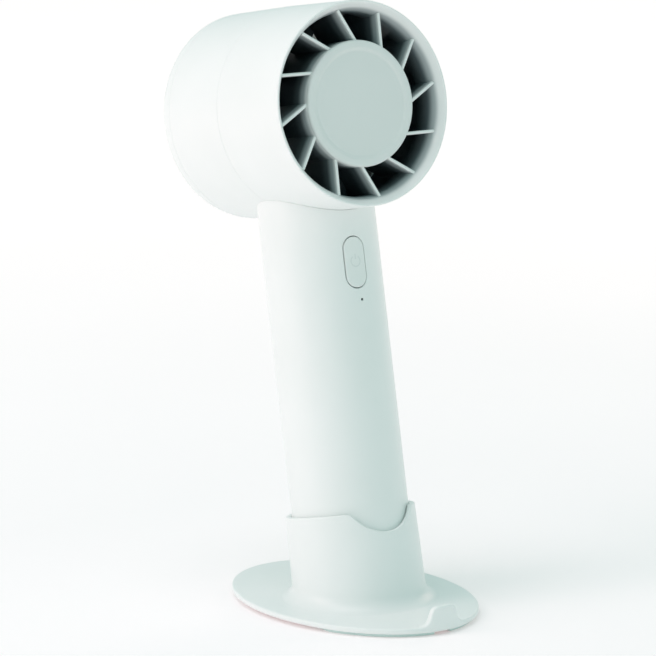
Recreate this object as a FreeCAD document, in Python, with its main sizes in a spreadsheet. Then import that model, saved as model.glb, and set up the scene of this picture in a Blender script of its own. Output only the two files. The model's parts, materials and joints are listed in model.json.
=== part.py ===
import FreeCAD, Part
import os
import re
import Sketcher

# A hand-held turbo fan standing in its desk stand. +Z is up, the fan blows towards -Y, X is across.
# The origin is on the ground under the middle of the whole object. All lengths are in millimetres.
# Three frames are used. Stand: the frame of the object. Handle: z runs up the handle axis from the
# ground, -y is the front. Head: z runs back from the front rim of the head, -y is up.

sizes = {
    # Stance
    "lean": 10.18,          # handle axis from the vertical, degrees
    "tilt": 8.33,           # head axis from the horizontal, degrees
    "foot_y": -10.8,        # where the handle axis meets the ground
    "head_up": 163.27,      # ground to head axis, along the handle axis
    "head_front": 34.07,    # handle axis to the front rim, along the head axis
    # Clearances
    "slip": 0.05,           # between pieces that push together
    "run_gap": 0.03,        # shaft in its bearings, radial
    "body_gap": 0.3,        # round the button
    "socket_gap": 0.4,      # handle in its socket, radial
    "rest_gap": 0.05,       # handle above the socket floor
    "tip_gap": 1.1,         # impeller tips to the shell
    # Head shells
    "front_r": 33.0,        # outer radius at the front rim
    "seam_r": 34.14,        # outer radius where the shells meet
    "rear_r": 34.4,         # outer radius where the intake grille starts
    "front_len": 33.9,
    "rear_len": 29.0,
    "grille_len": 6.1,
    "grille_round": 3.5,    # rounding of the rear edge
    "duct_r": 29.5,         # narrowest part of the opening
    "duct_len": 12.0,       # depth of the opening before the vane ring's seat
    "mouth_r": 32.45,       # opening at the front rim
    "mouth_deep": 3.1,      # how far the cone of the mouth runs in before it is rounded
    "mouth_round": 10.0,    # from the cone into the straight opening
    "tip_flare": 2.3,       # the tips of the vanes follow the mouth
    "tip_deep": 4.8,
    "rim_round": 0.45,      # outer edge of the front rim
    "shell_wall": 1.8,
    "spigot_len": 3.0,
    "spigot_wall": 0.85,
    "seam_chamfer": 0.15,   # breaks the edges that meet at each seam
    # Guide vanes and hub
    "hub_r": 20.33,
    "hub_wall": 1.5,
    "hub_back": 26.0,       # depth of the motor face of the hub
    "web": 2.0,             # thickness of the wall that carries the motor
    "web_bore": 4.5,
    "vane_count": 12,
    "vane_offset": 10.9,    # each vane's plane passes the axis at this distance
    "vane_thick": 1.1,
    "vane_back": 22.0,
    "ring_wall": 1.2,
    "ring_len": 12.0,
    "disc_front": 1.4,      # depth of the hub cap's face
    "disc_thick": 1.3,      # the vanes start at the back of the disc
    "disc_round": 0.8,
    "dish_r": 16.9,         # shallow dish in the hub cap
    "dish_deep": 0.25,
    "dish_slope": 0.4,
    "strut_wide": 5.0,
    "strut_deep": 6.0,
    "lead_r": 0.9,          # motor lead
    "lead_z": 20.6,         # its depth in the head
    "lead_turn": 3.0,
    "lead_in": 10.3,        # where it turns towards the motor
    # Motor
    "shaft_r": 1.5,
    "bearing_r": 3.0,
    "bearing_wide": 2.5,
    "tube_wall": 1.0,
    "flange_r": 8.5,
    "flange_thick": 1.5,
    "tube_len": 14.0,
    "core_r": 11.6,
    "core_len": 7.0,
    "core_up": 4.0,         # motor face of the hub to the core
    "tooth_count": 9,
    "tooth_wide": 1.8,
    "shoe_wide": 5.8,
    "shoe_thick": 1.0,
    "coil_build": 0.85,     # copper either side of a tooth
    "coil_over": 1.2,       # copper past the ends of the core
    "air_gap": 0.4,
    "magnet_thick": 2.0,
    "magnet_len": 9.5,
    "can_wall": 0.8,
    "can_len": 13.5,
    "can_up": 2.0,          # motor face of the hub to the open end of the can
    "boss_r": 3.0,
    "boss_len": 2.0,
    "clip_r": 3.2,
    "clip_thick": 0.6,
    "screw_r": 1.0,
    "screw_head_r": 1.8,
    "screw_head": 1.3,
    "motor_screw_count": 3,
    "motor_screw_at": 6.3,
    # Impeller
    "rotor_r": 19.8,
    "rotor_wall": 2.2,
    "rotor_up": 1.5,        # motor face of the hub to the front edge of the impeller
    "rotor_len": 18.5,
    "sleeve_wall": 1.2,
    "blade_count": 9,
    "blade_thick": 1.2,
    "root_chord": 14.0,
    "root_pitch": 42.0,
    "tip_chord": 17.0,
    "tip_pitch": 28.0,
    # Handle
    "handle_r": 19.25,
    "handle_wall": 1.6,
    "handle_low": 7.0,      # underside of the handle, along its axis
    "floor_thick": 3.0,
    "cap_round": 0.8,
    "button_drop": 51.17,   # head axis down to the middle of the button
    "button_wide": 7.76,
    "button_long": 16.5,
    "button_proud": 0.1,
    "button_thick": 2.35,
    "tongue": 1.5,          # length of the keepers above and below the button
    "keeper_wide": 7.0,
    "keeper_thick": 0.6,
    "light_drop": 63.42,
    "light_x": 1.0,         # the pin-hole light sits a little to the right of the button's middle
    "light_r": 0.37,
    "light_slip": 0.03,
    "light_foot_r": 1.4,
    "board_in": 3.05,       # bore of the handle to the front of the board
    "board_thick": 1.2,
    "board_wide": 17.6,
    "board_below": 27.0,    # button middle to the lower end of the board
    "board_above": 6.5,
    "switch_side": 6.0,
    "switch_tall": 0.9,
    "plunger_r": 1.2,
    "plunger_len": 1.0,
    "well_r": 1.6,
    "well_deep": 0.7,
    "plug_wide": 8.0,
    "plug_tall": 7.0,
    "plug_behind": 2.8,     # how far the plug reaches behind the middle of the lead
    "crimp": 0.4,           # the motor lead runs this far into its plug
    "small_screw_r": 0.8,
    "small_head_r": 1.4,
    "small_head": 0.7,
    "small_screw_len": 5.0,
    "neck_wall": 1.6,
    "neck_web": 4.0,        # solid under the head at the lowest point of the saddle
    "neck_screw_front": 27.5,
    "neck_screw_rear": 45.0,
    "neck_screw_len": 6.0,
    # Battery and its cradle
    "cell_r": 9.2,
    "cell_len": 64.0,
    "cell_tip_r": 2.8,
    "cell_tip": 1.0,
    "cell_up": 6.0,         # underside of the handle to the cell
    "cell_gap": 0.1,
    "tab_thick": 0.2,
    "wire_r": 0.7,
    "wire_apart": 3.2,      # each battery lead from the middle plane
    "wire_clear": 0.35,
    "wire_lap": 8.0,        # battery leads run this far up the board
    "rib_thick": 3.0,
    "rail_gap": 2.0,        # cell to the rails beside it
    "rail_wide": 2.5,
    "rail_deep": 6.0,
    "post_wide": 3.4,
    "post_deep": 7.0,
    # Charging port
    "port_up": 30.0,        # underside of the handle to the port
    "port_wide": 8.94,
    "port_tall": 3.2,
    "port_deep": 7.3,
    "port_wall": 0.3,
    "port_sunk": 0.65,
    "port_clear": 0.3,
    "port_board_thick": 1.0,
    "port_board_wide": 13.0,
    "port_board_long": 8.2,
    "charge_r": 0.6,
    "charge_apart": 2.0,
    "charge_turn": 5.0,
    "charge_up": 13.1,      # lower end of the board to where the charging leads land
    # Stand
    "plate_long": 101.2,
    "plate_wide": 69.4,
    "plate_shift": 4.17,    # plate's middle behind the foot of the handle axis
    "plate_low": 1.2,
    "plate_thick": 1.8,
    "plate_round": 0.5,
    "collar_top": 31.5,     # along the handle axis
    "collar_wall": 1.65,
    "collar_flare": 0.75,   # growth of the outer radius down to the plate
    "collar_fillet": 4.5,
    "scoop_low": 24.5,
    "scoop_r": 13.4,
    "scoop_round": 1.6,
    "socket_floor": 2.0,
    "stop_half": 8.75,
    "stop_fillet": 3.6,
    "stop_round": 2.7,
    "stop_thick": 2.0,
    "pad_inset": 1.6,
    "pad_wide": 3.2,
    "pad_from": 3.0,
    "pad_to": 28.0,
}

doc = FreeCAD.newDocument("hand_fan")
sheet = doc.addObject("Spreadsheet::Sheet", "sizes")
for row, (alias, number) in enumerate(sizes.items(), 1):
    sheet.set("A%d" % row, alias)
    sheet.set("B%d" % row, str(number))
    sheet.setAlias("B%d" % row, alias)
doc.recompute()

nodes = {}
down = FreeCAD.Vector(-1, 0, 0)  # both axes turn about -X, so that the angles are positive


def linked(text):
    """The same formula with every size read from the sheet."""
    return re.sub(r"[a-z]\w*", lambda word: "sizes." + word[0] if word[0] in sizes else word[0], text)


def value(text):
    return float(sheet.evalExpression(linked(text)))


def bind(item, **formulas):
    for name, text in formulas.items():
        item.setExpression(name, linked(text))


def move(item, x="0", y="0", z="0"):
    for letter, text in zip("xyz", (x, y, z)):
        item.setExpression("Placement.Base." + letter, linked(text))


def turn(item, axis, angle):
    item.Placement.Rotation = FreeCAD.Rotation(axis, value(angle))
    item.setExpression("Placement.Rotation.Angle", linked(angle))


def in_handle(item):
    turn(item, down, "lean")
    move(item, y="foot_y")


def in_head(item):
    turn(item, down, "90 + tilt")
    move(
        item,
        y="foot_y + head_up * sin(lean) - head_front * cos(tilt)",
        z="head_up * cos(lean) + head_front * sin(tilt)",
    )


def head_seen_from_handle(item):
    turn(item, down, "90 - (lean - tilt)")
    move(
        item,
        y="-head_front * cos(lean - tilt)",
        z="head_up - head_front * sin(lean - tilt)",
    )


def node(item, label, frame=None):
    """Name a finished piece and put it in its frame."""
    item.Label = label
    nodes[label] = item
    if frame:
        frame(item)
    return item


def cylinder(radius, height, x="0", y="0", z="0", along="z"):
    item = doc.addObject("Part::Cylinder", "round")
    bind(item, Radius=radius, Height=height)
    if along == "y":
        item.Placement.Rotation = FreeCAD.Rotation(FreeCAD.Vector(1, 0, 0), -90)
    move(item, x, y, z)
    return item


def cone(low_radius, high_radius, height, z="0"):
    item = doc.addObject("Part::Cone", "taper")
    bind(item, Radius1=low_radius, Radius2=high_radius, Height=height)
    move(item, z=z)
    return item


def box(x, y, z):
    """Block between three pairs of formulas."""
    item = doc.addObject("Part::Box", "block")
    spans = ["(%s) - (%s)" % (high, low) for low, high in (x, y, z)]
    bind(item, Length=spans[0], Width=spans[1], Height=spans[2])
    move(item, x[0], y[0], z[0])
    return item


def fuse(*items):
    item = doc.addObject("Part::MultiFuse", "joined")
    item.Shapes = list(items)
    item.Refine = True
    return item


def common(first, second):
    item = doc.addObject("Part::MultiCommon", "shared")
    item.Shapes = [first, second]
    return item


def cut(base, *tools):
    item = doc.addObject("Part::Cut", "trimmed")
    item.Base = base
    item.Tool = tools[0] if len(tools) == 1 else fuse(*tools)
    item.Refine = True
    return item


def group(items):
    item = doc.addObject("Part::Compound", "group")
    item.Links = list(items)
    return item


def slot(wide, long, y_from, y_to, z):
    """Block with round ends, lying along y, taller than wide."""
    half = "(%s) / 2" % wide
    reach = "((%s) - (%s)) / 2" % (long, wide)
    depth = "(%s) - (%s)" % (y_to, y_from)
    middle = box(
        ("-" + half, half),
        (y_from, y_to),
        ("%s - %s" % (z, reach), "%s + %s" % (z, reach)),
    )
    ends = [
        cylinder(half, depth, y=y_from, z="%s %s %s" % (z, sign, reach), along="y")
        for sign in "+-"
    ]
    return fuse(middle, *ends)


def flat_slot(wide, tall, y_from, y_to, z):
    """Block with round ends, lying along y, wider than tall."""
    half = "(%s) / 2" % tall
    reach = "((%s) - (%s)) / 2" % (wide, tall)
    depth = "(%s) - (%s)" % (y_to, y_from)
    middle = box(
        ("-(%s)" % reach, reach),
        (y_from, y_to),
        ("%s - %s" % (z, half), "%s + %s" % (z, half)),
    )
    ends = [
        cylinder(half, depth, x="%s(%s)" % (sign, reach), y=y_from, z=z, along="y")
        for sign in ("", "-")
    ]
    return fuse(middle, *ends)


def new_body():
    return doc.addObject("PartDesign::Body", "body")


def origin_item(body, role):
    return next(item for item in body.Origin.OriginFeatures if item.Role == role)


def outline(body, role, *loops, lift=None):
    """Sketch of closed straight-sided loops on an origin plane of the body."""
    sketch = body.newObject("Sketcher::SketchObject", "outline")
    sketch.AttachmentSupport = (origin_item(body, role), [""])
    sketch.MapMode = "FlatFace"
    if lift:
        sketch.setExpression("AttachmentOffset.Base.z", linked(lift))
    first = 0
    for points in loops:
        corners = [FreeCAD.Vector(value(x), value(y), 0) for x, y in points]
        for start, end in zip(corners, corners[1:] + corners[:1]):
            sketch.addGeometry(Part.LineSegment(start, end), False)
        for index, texts in enumerate(points):
            follower = first + (index + 1) % len(points)
            sketch.addConstraint(Sketcher.Constraint("Coincident", first + index, 2, follower, 1))
        for index, texts in enumerate(points, first):
            for kind, axis, text in zip(("DistanceX", "DistanceY"), (-2, -1), texts):
                if text == "0":
                    sketch.addConstraint(Sketcher.Constraint("PointOnObject", index, 1, axis))
                    continue
                rule = Sketcher.Constraint(kind, -1, 1, index, 1, value(text))
                number = sketch.addConstraint(rule)
                sketch.setExpression("Constraints[%d]" % number, linked(text))
        first += len(points)
    return sketch


def revolve(body, points, kind="Revolution"):
    """Turn an outline of (radius, height) points about the body's z axis."""
    sketch = outline(body, "XZ_Plane", points)
    item = body.newObject("PartDesign::" + kind, kind.lower())
    item.Profile = sketch
    item.ReferenceAxis = (sketch, ["V_Axis"])
    item.Angle = 360
    return item


def pad(body, sketch, length):
    item = body.newObject("PartDesign::Pad", "pad")
    item.Profile = sketch
    bind(item, Length=length)
    return item


def around(body, feature, count):
    """Repeat a feature evenly about the body's z axis."""
    item = body.newObject("PartDesign::PolarPattern", "pattern")
    item.Originals = [feature]
    item.Axis = (origin_item(body, "Z_Axis"), [""])
    item.Angle = 360
    bind(item, Occurrences=count)
    body.Tip = item
    return item


def soften(body, kind, size, *places):
    """Round or bevel the circular edges at the given (radius, height) places."""
    doc.recompute()
    last = body.Tip
    wanted = [(value(radius), value(height)) for radius, height in places]
    names = []
    for number, edge in enumerate(last.Shape.Edges, 1):
        if not isinstance(edge.Curve, Part.Circle):
            continue
        centre = edge.Curve.Center
        for radius, height in wanted:
            if abs(edge.Curve.Radius - radius) < 0.01 and abs(centre.z - height) < 0.01:
                names.append("Edge%d" % number)
    if len(names) < len(wanted):
        raise RuntimeError("an edge to soften is missing")
    item = body.newObject("PartDesign::" + kind, kind.lower())
    item.Base = (last, names)
    bind(item, **{"Radius" if kind == "Fillet" else "Size": size})
    body.Tip = item
    return item


def turned(label, frame, points):
    """A piece that is one turned outline."""
    body = new_body()
    revolve(body, points)
    return node(body, label, frame)


def tube(radius, points, bend):
    """Round wire along straight runs joined by tangent arcs, as a free shape."""
    corners = [FreeCAD.Vector(*(value(text) for text in point)) for point in points]
    edges = []
    start = corners[0]
    for before, corner, after in zip(corners, corners[1:], corners[2:]):
        back = (before - corner).normalize()
        ahead = (after - corner).normalize()
        size = value(bend)
        leave = corner + back * size
        meet = corner + ahead * size
        centre = corner + (back + ahead) * size
        middle = centre + (corner - centre).normalize() * size
        edges.append(Part.LineSegment(start, leave).toShape())
        edges.append(Part.Arc(leave, middle, meet).toShape())
        start = meet
    edges.append(Part.LineSegment(start, corners[-1]).toShape())
    path = Part.Wire(edges)
    ring = Part.Circle(corners[0], corners[1] - corners[0], value(radius)).toShape()
    return path.makePipeShell([Part.Wire([ring])], True, True)


# ---- sizes that several pieces share ----
inner_r = "(seam_r - shell_wall)"                 # bore of both shells
spigot_r = "(%s + shell_wall / 4)" % inner_r      # outside of the spigots
ring_r = "(%s - slip)" % inner_r
disc_back = "(disc_front + disc_thick)"
motor_z = "hub_back"
bore_r = "(handle_r - handle_wall)"
button_z = "(head_up - button_drop)"
light_z = "(head_up - light_drop)"
tip_r = "(%s - tip_gap)" % inner_r


# ---- head shells ----
body = new_body()
revolve(body, [
    ("duct_r", "mouth_deep"),
    ("mouth_r", "0"),
    ("front_r", "0"),
    ("seam_r", "front_len"),
    (spigot_r + " + slip", "front_len"),
    (spigot_r + " + slip", "front_len - spigot_len - slip"),
    (inner_r, "front_len - spigot_len - slip"),
    (inner_r, "duct_len"),
    ("duct_r", "duct_len"),
])
soften(body, "Fillet", "mouth_round", ("duct_r", "mouth_deep"))
soften(body, "Fillet", "rim_round", ("front_r", "0"))
soften(body, "Chamfer", "seam_chamfer", ("seam_r", "front_len"))


def neck_hole(depth):
    """Screw hole through a shell, with a sunk seat on the inside."""
    hole = cylinder("screw_r + 2 * slip", "shell_wall * 3", y=inner_r + " - shell_wall", z=depth, along="y")
    seat = cylinder(
        "screw_head_r + 2 * slip",
        "shell_wall + slip + screw_head / 2",
        y=inner_r + " - shell_wall",
        z=depth,
        along="y",
    )
    return fuse(hole, seat)


lead_hole = cylinder("lead_r * 1.8", "shell_wall * 3", y=inner_r + " - shell_wall", z="lead_z", along="y")
node(cut(body, lead_hole, neck_hole("neck_screw_front")), "front_shell", in_head)

rear_end = "front_len + rear_len"
body = new_body()
revolve(body, [
    (spigot_r + " - spigot_wall", "front_len - spigot_len"),
    (spigot_r, "front_len - spigot_len"),
    (spigot_r, "front_len"),
    ("seam_r", "front_len"),
    ("rear_r", rear_end),
    (spigot_r + " + slip", rear_end),
    (spigot_r + " + slip", rear_end + " - spigot_len - slip"),
    (inner_r, rear_end + " - spigot_len - slip"),
    (inner_r, "front_len + spigot_len"),
    (spigot_r + " - spigot_wall", "front_len + spigot_len - spigot_wall"),
])
soften(body, "Chamfer", "seam_chamfer", ("seam_r", "front_len"), ("rear_r", rear_end))
node(cut(body, neck_hole("neck_screw_rear")), "rear_shell", in_head)

# The intake grille closes the rear: two rings of tapered slots in a dished cap.
grille = {"slots": 36, "inner": (11.0, 19.6), "outer": (21.2, 29.8), "rib": 1.1}
head_end = "front_len + rear_len + grille_len"
body = new_body()
revolve(body, [
    (spigot_r + " - spigot_wall * 2", rear_end + " - spigot_len"),
    (spigot_r, rear_end + " - spigot_len"),
    (spigot_r, rear_end),
    ("rear_r", rear_end),
    ("rear_r", head_end),
    ("0", head_end),
    ("0", head_end + " - web"),
    (spigot_r + " - spigot_wall * 2", head_end + " - web"),
])
soften(body, "Fillet", "grille_round", ("rear_r", head_end))
soften(body, "Chamfer", "seam_chamfer", ("rear_r", rear_end))
for low, high in (grille["inner"], grille["outer"]):
    share = 3.14159 / grille["slots"]
    ends = [(low, low * share - grille["rib"] / 2), (high, high * share - grille["rib"] / 2)]
    points = [(str(r), str(round(half * sign, 4))) for sign in (1, -1) for r, half in ends[::sign]]
    sketch = outline(body, "XY_Plane", points, lift=head_end)
    pocket = body.newObject("PartDesign::Pocket", "slots")
    pocket.Profile = sketch
    pocket.Reversed = False
    bind(pocket, Length="web * 2")
    body.Tip = pocket
    around(body, pocket, str(grille["slots"]))
node(body, "intake_grille", in_head)


# ---- guide vanes, hub and hub cap ----
body = new_body()
revolve(body, [
    ("hub_r - hub_wall", disc_back),
    ("hub_r", disc_back),
    ("hub_r", motor_z),
    ("web_bore", motor_z),
    ("web_bore", motor_z + " - web"),
    ("hub_r - hub_wall", motor_z + " - web"),
])
root = "-sqrt((hub_r - hub_wall / 2) ^ 2 - vane_offset ^ 2)"
near_side = "vane_offset - vane_thick / 2"
far_side = "vane_offset + vane_thick / 2"
sketch = outline(body, "XY_Plane", [
    (near_side, root),
    (far_side, root),
    (far_side, "-" + ring_r),
    (near_side, "-" + ring_r),
], lift=disc_back)
vane = pad(body, sketch, "vane_back - %s" % disc_back)
around(body, vane, "vane_count")
revolve(body, [
    ("duct_r - slip + tip_flare", "0"),
    ("duct_r - slip", "tip_deep"),
    ("duct_r - slip", "duct_len"),
    (ring_r, "duct_len"),
    (ring_r, "hub_back"),
    ("seam_r * 2", "hub_back"),
    ("seam_r * 2", "0"),
], "Groove")
revolve(body, [
    (ring_r + " - ring_wall", "duct_len"),
    (ring_r, "duct_len"),
    (ring_r, "duct_len + ring_len"),
    (ring_r + " - ring_wall", "duct_len + ring_len"),
])
sketch = outline(body, "XY_Plane", [
    ("-strut_wide / 2", "hub_r - hub_wall / 2"),
    ("strut_wide / 2", "hub_r - hub_wall / 2"),
    ("strut_wide / 2", ring_r + " - ring_wall / 2"),
    ("-strut_wide / 2", ring_r + " - ring_wall / 2"),
], lift="duct_len + ring_len - strut_deep")
pad(body, sketch, "strut_deep")
lead_bore = cylinder("lead_r + slip", "seam_r", y="hub_r / 2", z="lead_z", along="y")
lead_pass = cylinder("lead_r * 1.4", "web * 3", y="lead_in", z="hub_back - web * 2")
step = "360 / motor_screw_count"


def motor_spot(index):
    """Place of a motor screw on its circle."""
    angle = "(90 + 60 + %d * %s)" % (index, step)
    return "motor_screw_at * cos(%s)" % angle, "motor_screw_at * sin(%s)" % angle


spots = [motor_spot(index) for index in range(sizes["motor_screw_count"])]
screw_passes = [cylinder("screw_r + 2 * slip", "web * 3", x, y, "hub_back - web * 2") for x, y in spots]
node(cut(body, lead_bore, lead_pass, *screw_passes), "stator_vanes", in_head)

collar_r = "hub_r - hub_wall - slip"
body = new_body()
revolve(body, [
    ("0", "disc_front + dish_deep"),
    ("dish_r", "disc_front + dish_deep"),
    ("dish_r + dish_slope", "disc_front"),
    ("hub_r", "disc_front"),
    ("hub_r", disc_back),
    (collar_r, disc_back),
    (collar_r, disc_back + " + spigot_len"),
    (collar_r + " - hub_wall", disc_back + " + spigot_len"),
    (collar_r + " - hub_wall", disc_back),
    ("0", disc_back),
])
soften(body, "Fillet", "disc_round", ("hub_r", "disc_front"))
node(body, "hub_cap", in_head)


# ---- motor ----
tube_r = "bearing_r + tube_wall"
body = new_body()
revolve(body, [
    ("bearing_r", motor_z),
    ("flange_r", motor_z),
    ("flange_r", motor_z + " + flange_thick"),
    (tube_r, motor_z + " + flange_thick"),
    (tube_r, motor_z + " + tube_len"),
    ("bearing_r", motor_z + " + tube_len"),
])
pilots = [cylinder("screw_r", "flange_thick * 3", x, y, "hub_back - flange_thick") for x, y in spots]
node(cut(body, *pilots), "motor_base", in_head)

for label, low in (("front_bearing", "0.5"), ("rear_bearing", "tube_len - bearing_wide - 0.1")):
    turned(label, in_head, [
        ("shaft_r + run_gap", "%s + %s" % (motor_z, low)),
        ("bearing_r", "%s + %s" % (motor_z, low)),
        ("bearing_r", "%s + %s + bearing_wide" % (motor_z, low)),
        ("shaft_r + run_gap", "%s + %s + bearing_wide" % (motor_z, low)),
    ])

core_z = "hub_back + core_up"
shoe_out = "sqrt(core_r ^ 2 - (shoe_wide / 2) ^ 2)"
shoe_in = "(%s - shoe_thick)" % shoe_out
yoke_r = "tube_wall + bearing_r + tooth_wide"
body = new_body()
revolve(body, [
    (tube_r, core_z),
    (yoke_r, core_z),
    (yoke_r, core_z + " + core_len"),
    (tube_r, core_z + " + core_len"),
])
sketch = outline(body, "XY_Plane", [
    (yoke_r + " - tooth_wide / 3", "-tooth_wide / 2"),
    (shoe_in, "-tooth_wide / 2"),
    (shoe_in, "-shoe_wide / 2"),
    (shoe_out, "-shoe_wide / 2"),
    (shoe_out, "shoe_wide / 2"),
    (shoe_in, "shoe_wide / 2"),
    (shoe_in, "tooth_wide / 2"),
    (yoke_r + " - tooth_wide / 3", "tooth_wide / 2"),
], lift=core_z)
tooth = pad(body, sketch, "core_len")
around(body, tooth, "tooth_count")
node(body, "stator_core", in_head)


def frame_loop(half, low, high):
    return [("-(%s)" % half, low), (half, low), (half, high), ("-(%s)" % half, high)]


body = new_body()
sketch = outline(
    body,
    "YZ_Plane",
    frame_loop("tooth_wide / 2 + coil_build", core_z + " - coil_over", core_z + " + core_len + coil_over"),
    frame_loop("tooth_wide / 2", core_z, core_z + " + core_len"),
    lift=yoke_r + " + coil_build / 2",
)
coil = pad(body, sketch, shoe_in + " - (%s) - coil_build" % yoke_r)
around(body, coil, "tooth_count")
node(body, "motor_windings", in_head)

magnet_in = "(core_r + air_gap)"
can_in = "(%s + magnet_thick)" % magnet_in
can_out = "(%s + can_wall)" % can_in
can_low = "hub_back + can_up"
can_high = can_low + " + can_len"
turned("rotor_can", in_head, [
    (can_in, can_low),
    (can_out, can_low),
    (can_out, can_high),
    ("boss_r", can_high),
    ("boss_r", can_high + " + boss_len"),
    ("shaft_r", can_high + " + boss_len"),
    ("shaft_r", can_high + " - can_wall"),
    (can_in, can_high + " - can_wall"),
])
magnet_low = can_low + " + can_wall"
turned("magnet_ring", in_head, [
    (magnet_in, magnet_low),
    (can_in, magnet_low),
    (can_in, magnet_low + " + magnet_len"),
    (magnet_in, magnet_low + " + magnet_len"),
])
rotor_end = "hub_back + rotor_up + rotor_len"
shaft_low = "hub_back - clip_thick * 2"
turned("shaft", in_head, [
    ("0", shaft_low),
    ("shaft_r", shaft_low),
    ("shaft_r", rotor_end),
    ("0", rotor_end),
])
clip_z = "hub_back - clip_thick * 5 / 3"
turned("retaining_clip", in_head, [
    ("shaft_r", clip_z),
    ("clip_r", clip_z),
    ("clip_r", clip_z + " + clip_thick"),
    ("shaft_r", clip_z + " + clip_thick"),
])


def motor_screw(x, y):
    head_z = "hub_back - web - screw_head"
    return fuse(
        cylinder("screw_head_r", "screw_head", x, y, head_z),
        cylinder("screw_r", "screw_head + web + flange_thick", x, y, head_z),
    )


node(group(motor_screw(x, y) for x, y in spots), "motor_screws", in_head)


# ---- impeller ----
rotor_low = "hub_back + rotor_up"
seat_z = can_high + " + boss_len"
floor_z = "(%s + web / 4)" % seat_z
cup_in = "rotor_r - rotor_wall"
sleeve_r = can_out + " + sleeve_wall"
body = new_body()
revolve(body, [
    ("shaft_r", seat_z),
    ("boss_r", seat_z),
    ("boss_r", floor_z),
    (can_out, floor_z),
    (can_out, magnet_low + " + web"),
    (sleeve_r, magnet_low + " + web"),
    (sleeve_r, floor_z),
    (cup_in, floor_z),
    (cup_in, rotor_low),
    ("rotor_r", rotor_low),
    ("rotor_r", rotor_end),
    ("shaft_r", rotor_end),
])
soften(body, "Fillet", "web * 0.75", ("rotor_r", rotor_end))
blade_z = "(%s + rotor_len / 2)" % rotor_low


def blade_section(lift, chord, pitch):
    """Thin slanted section of a blade, standing across a radius."""
    along = ("cos(%s)" % pitch, "sin(%s)" % pitch)
    across = ("sin(%s)" % pitch, "cos(%s)" % pitch)
    corners = []
    for side, edge in ((-1, -1), (1, -1), (1, 1), (-1, 1)):
        half = "%d * %s / 2" % (side, chord)
        thick = "%d * blade_thick / 2" % edge
        corners.append((
            "%s * %s - (%s) * %s" % (half, along[0], thick, across[0]),
            "%s + %s * %s + %s * %s" % (blade_z, half, along[1], thick, across[1]),
        ))
    return outline(body, "YZ_Plane", corners, lift=lift)


root_at = "sqrt((rotor_r - rotor_wall / 8) ^ 2 - (root_chord * cos(root_pitch) / 2 + blade_thick / 2) ^ 2)"
blade = body.newObject("PartDesign::AdditiveLoft", "blade")
blade.Profile = blade_section(root_at, "root_chord", "root_pitch")
blade.Sections = [blade_section(tip_r + " + web", "tip_chord", "tip_pitch")]
blade.Ruled = True
around(body, blade, "blade_count")
revolve(body, [
    (tip_r, "front_len - spigot_len * 4"),
    ("seam_r * 2", "front_len - spigot_len * 4"),
    ("seam_r * 2", rear_end),
    (tip_r, rear_end),
], "Groove")
node(body, "impeller", in_head)


# ---- neck: bracket between the head and the handle ----
def head_tool(extra, *more):
    """The outside of the head as a cutting solid, seen from the handle."""
    front = cone("front_r + " + extra, "seam_r + " + extra, "front_len")
    rear = cone("seam_r + " + extra, "rear_r + " + extra, "rear_len", "front_len")
    tool = fuse(front, rear, *more)
    head_seen_from_handle(tool)
    return tool


board_back = "(%s - board_in - board_thick)" % bore_r    # distance of the board's back from the axis
neck_r = "(%s - slip)" % bore_r
saddle_low = "(head_up - rear_r)"
neck_floor = "(%s - neck_web)" % saddle_low
neck_low = "(%s + button_long / 2 + tongue + 2 * body_gap)" % button_z
pilot_holes = [
    cylinder("screw_r", "shell_wall + neck_screw_len", y=inner_r, z=depth, along="y")
    for depth in ("neck_screw_front", "neck_screw_rear")
]
lead_slot = cylinder("lead_r * 1.8", "head_up", y=inner_r, z="lead_z", along="y")
bracket = cut(
    cylinder(neck_r, "%s + handle_r - %s" % (saddle_low, neck_low), z=neck_low),
    cylinder(neck_r + " - neck_wall", "%s - %s" % (neck_floor, neck_low), z=neck_low),
    head_tool("slip / 2", lead_slot, *pilot_holes),
)
node(bracket, "neck_bracket", in_handle)


def neck_screw(depth):
    head_y = inner_r + " + slip"
    return fuse(
        cylinder("screw_head_r", "screw_head / 2", y=head_y, z=depth, along="y"),
        cylinder("screw_r", "neck_screw_len", y=head_y, z=depth, along="y"),
    )


node(group(neck_screw(depth) for depth in ("neck_screw_front", "neck_screw_rear")), "neck_screws", in_head)


# ---- handle ----
port_z = "(handle_low + port_up)"
tube_low = "handle_low + floor_thick"
rough = cut(
    cylinder("handle_r", "%s - (%s) + neck_web + handle_r" % (saddle_low, tube_low), z=tube_low),
    cylinder(bore_r, "head_up * 2", z="-head_up / 2"),
)
openings = [
    slot("button_wide + 2 * body_gap", "button_long + 2 * body_gap", "-handle_r * 2", "0", button_z),
    cylinder("light_r + light_slip", "handle_r * 2", "light_x", "-handle_r * 2", light_z, along="y"),
    flat_slot("port_wide + 2 * port_clear", "port_tall + 2 * port_clear", "0", "handle_r * 2", port_z),
]
node(cut(rough, head_tool("slip * 2"), *openings), "handle_tube", in_handle)

body = new_body()
revolve(body, [
    ("0", "handle_low"),
    ("handle_r", "handle_low"),
    ("handle_r", tube_low),
    (neck_r, tube_low),
    (neck_r, tube_low + " + cell_up / 3"),
    (neck_r + " - neck_wall", tube_low + " + cell_up / 3"),
    (neck_r + " - neck_wall", tube_low),
    ("0", tube_low),
])
soften(body, "Fillet", "cap_round", ("handle_r", "handle_low"))
node(body, "bottom_cap", in_handle)

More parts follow.
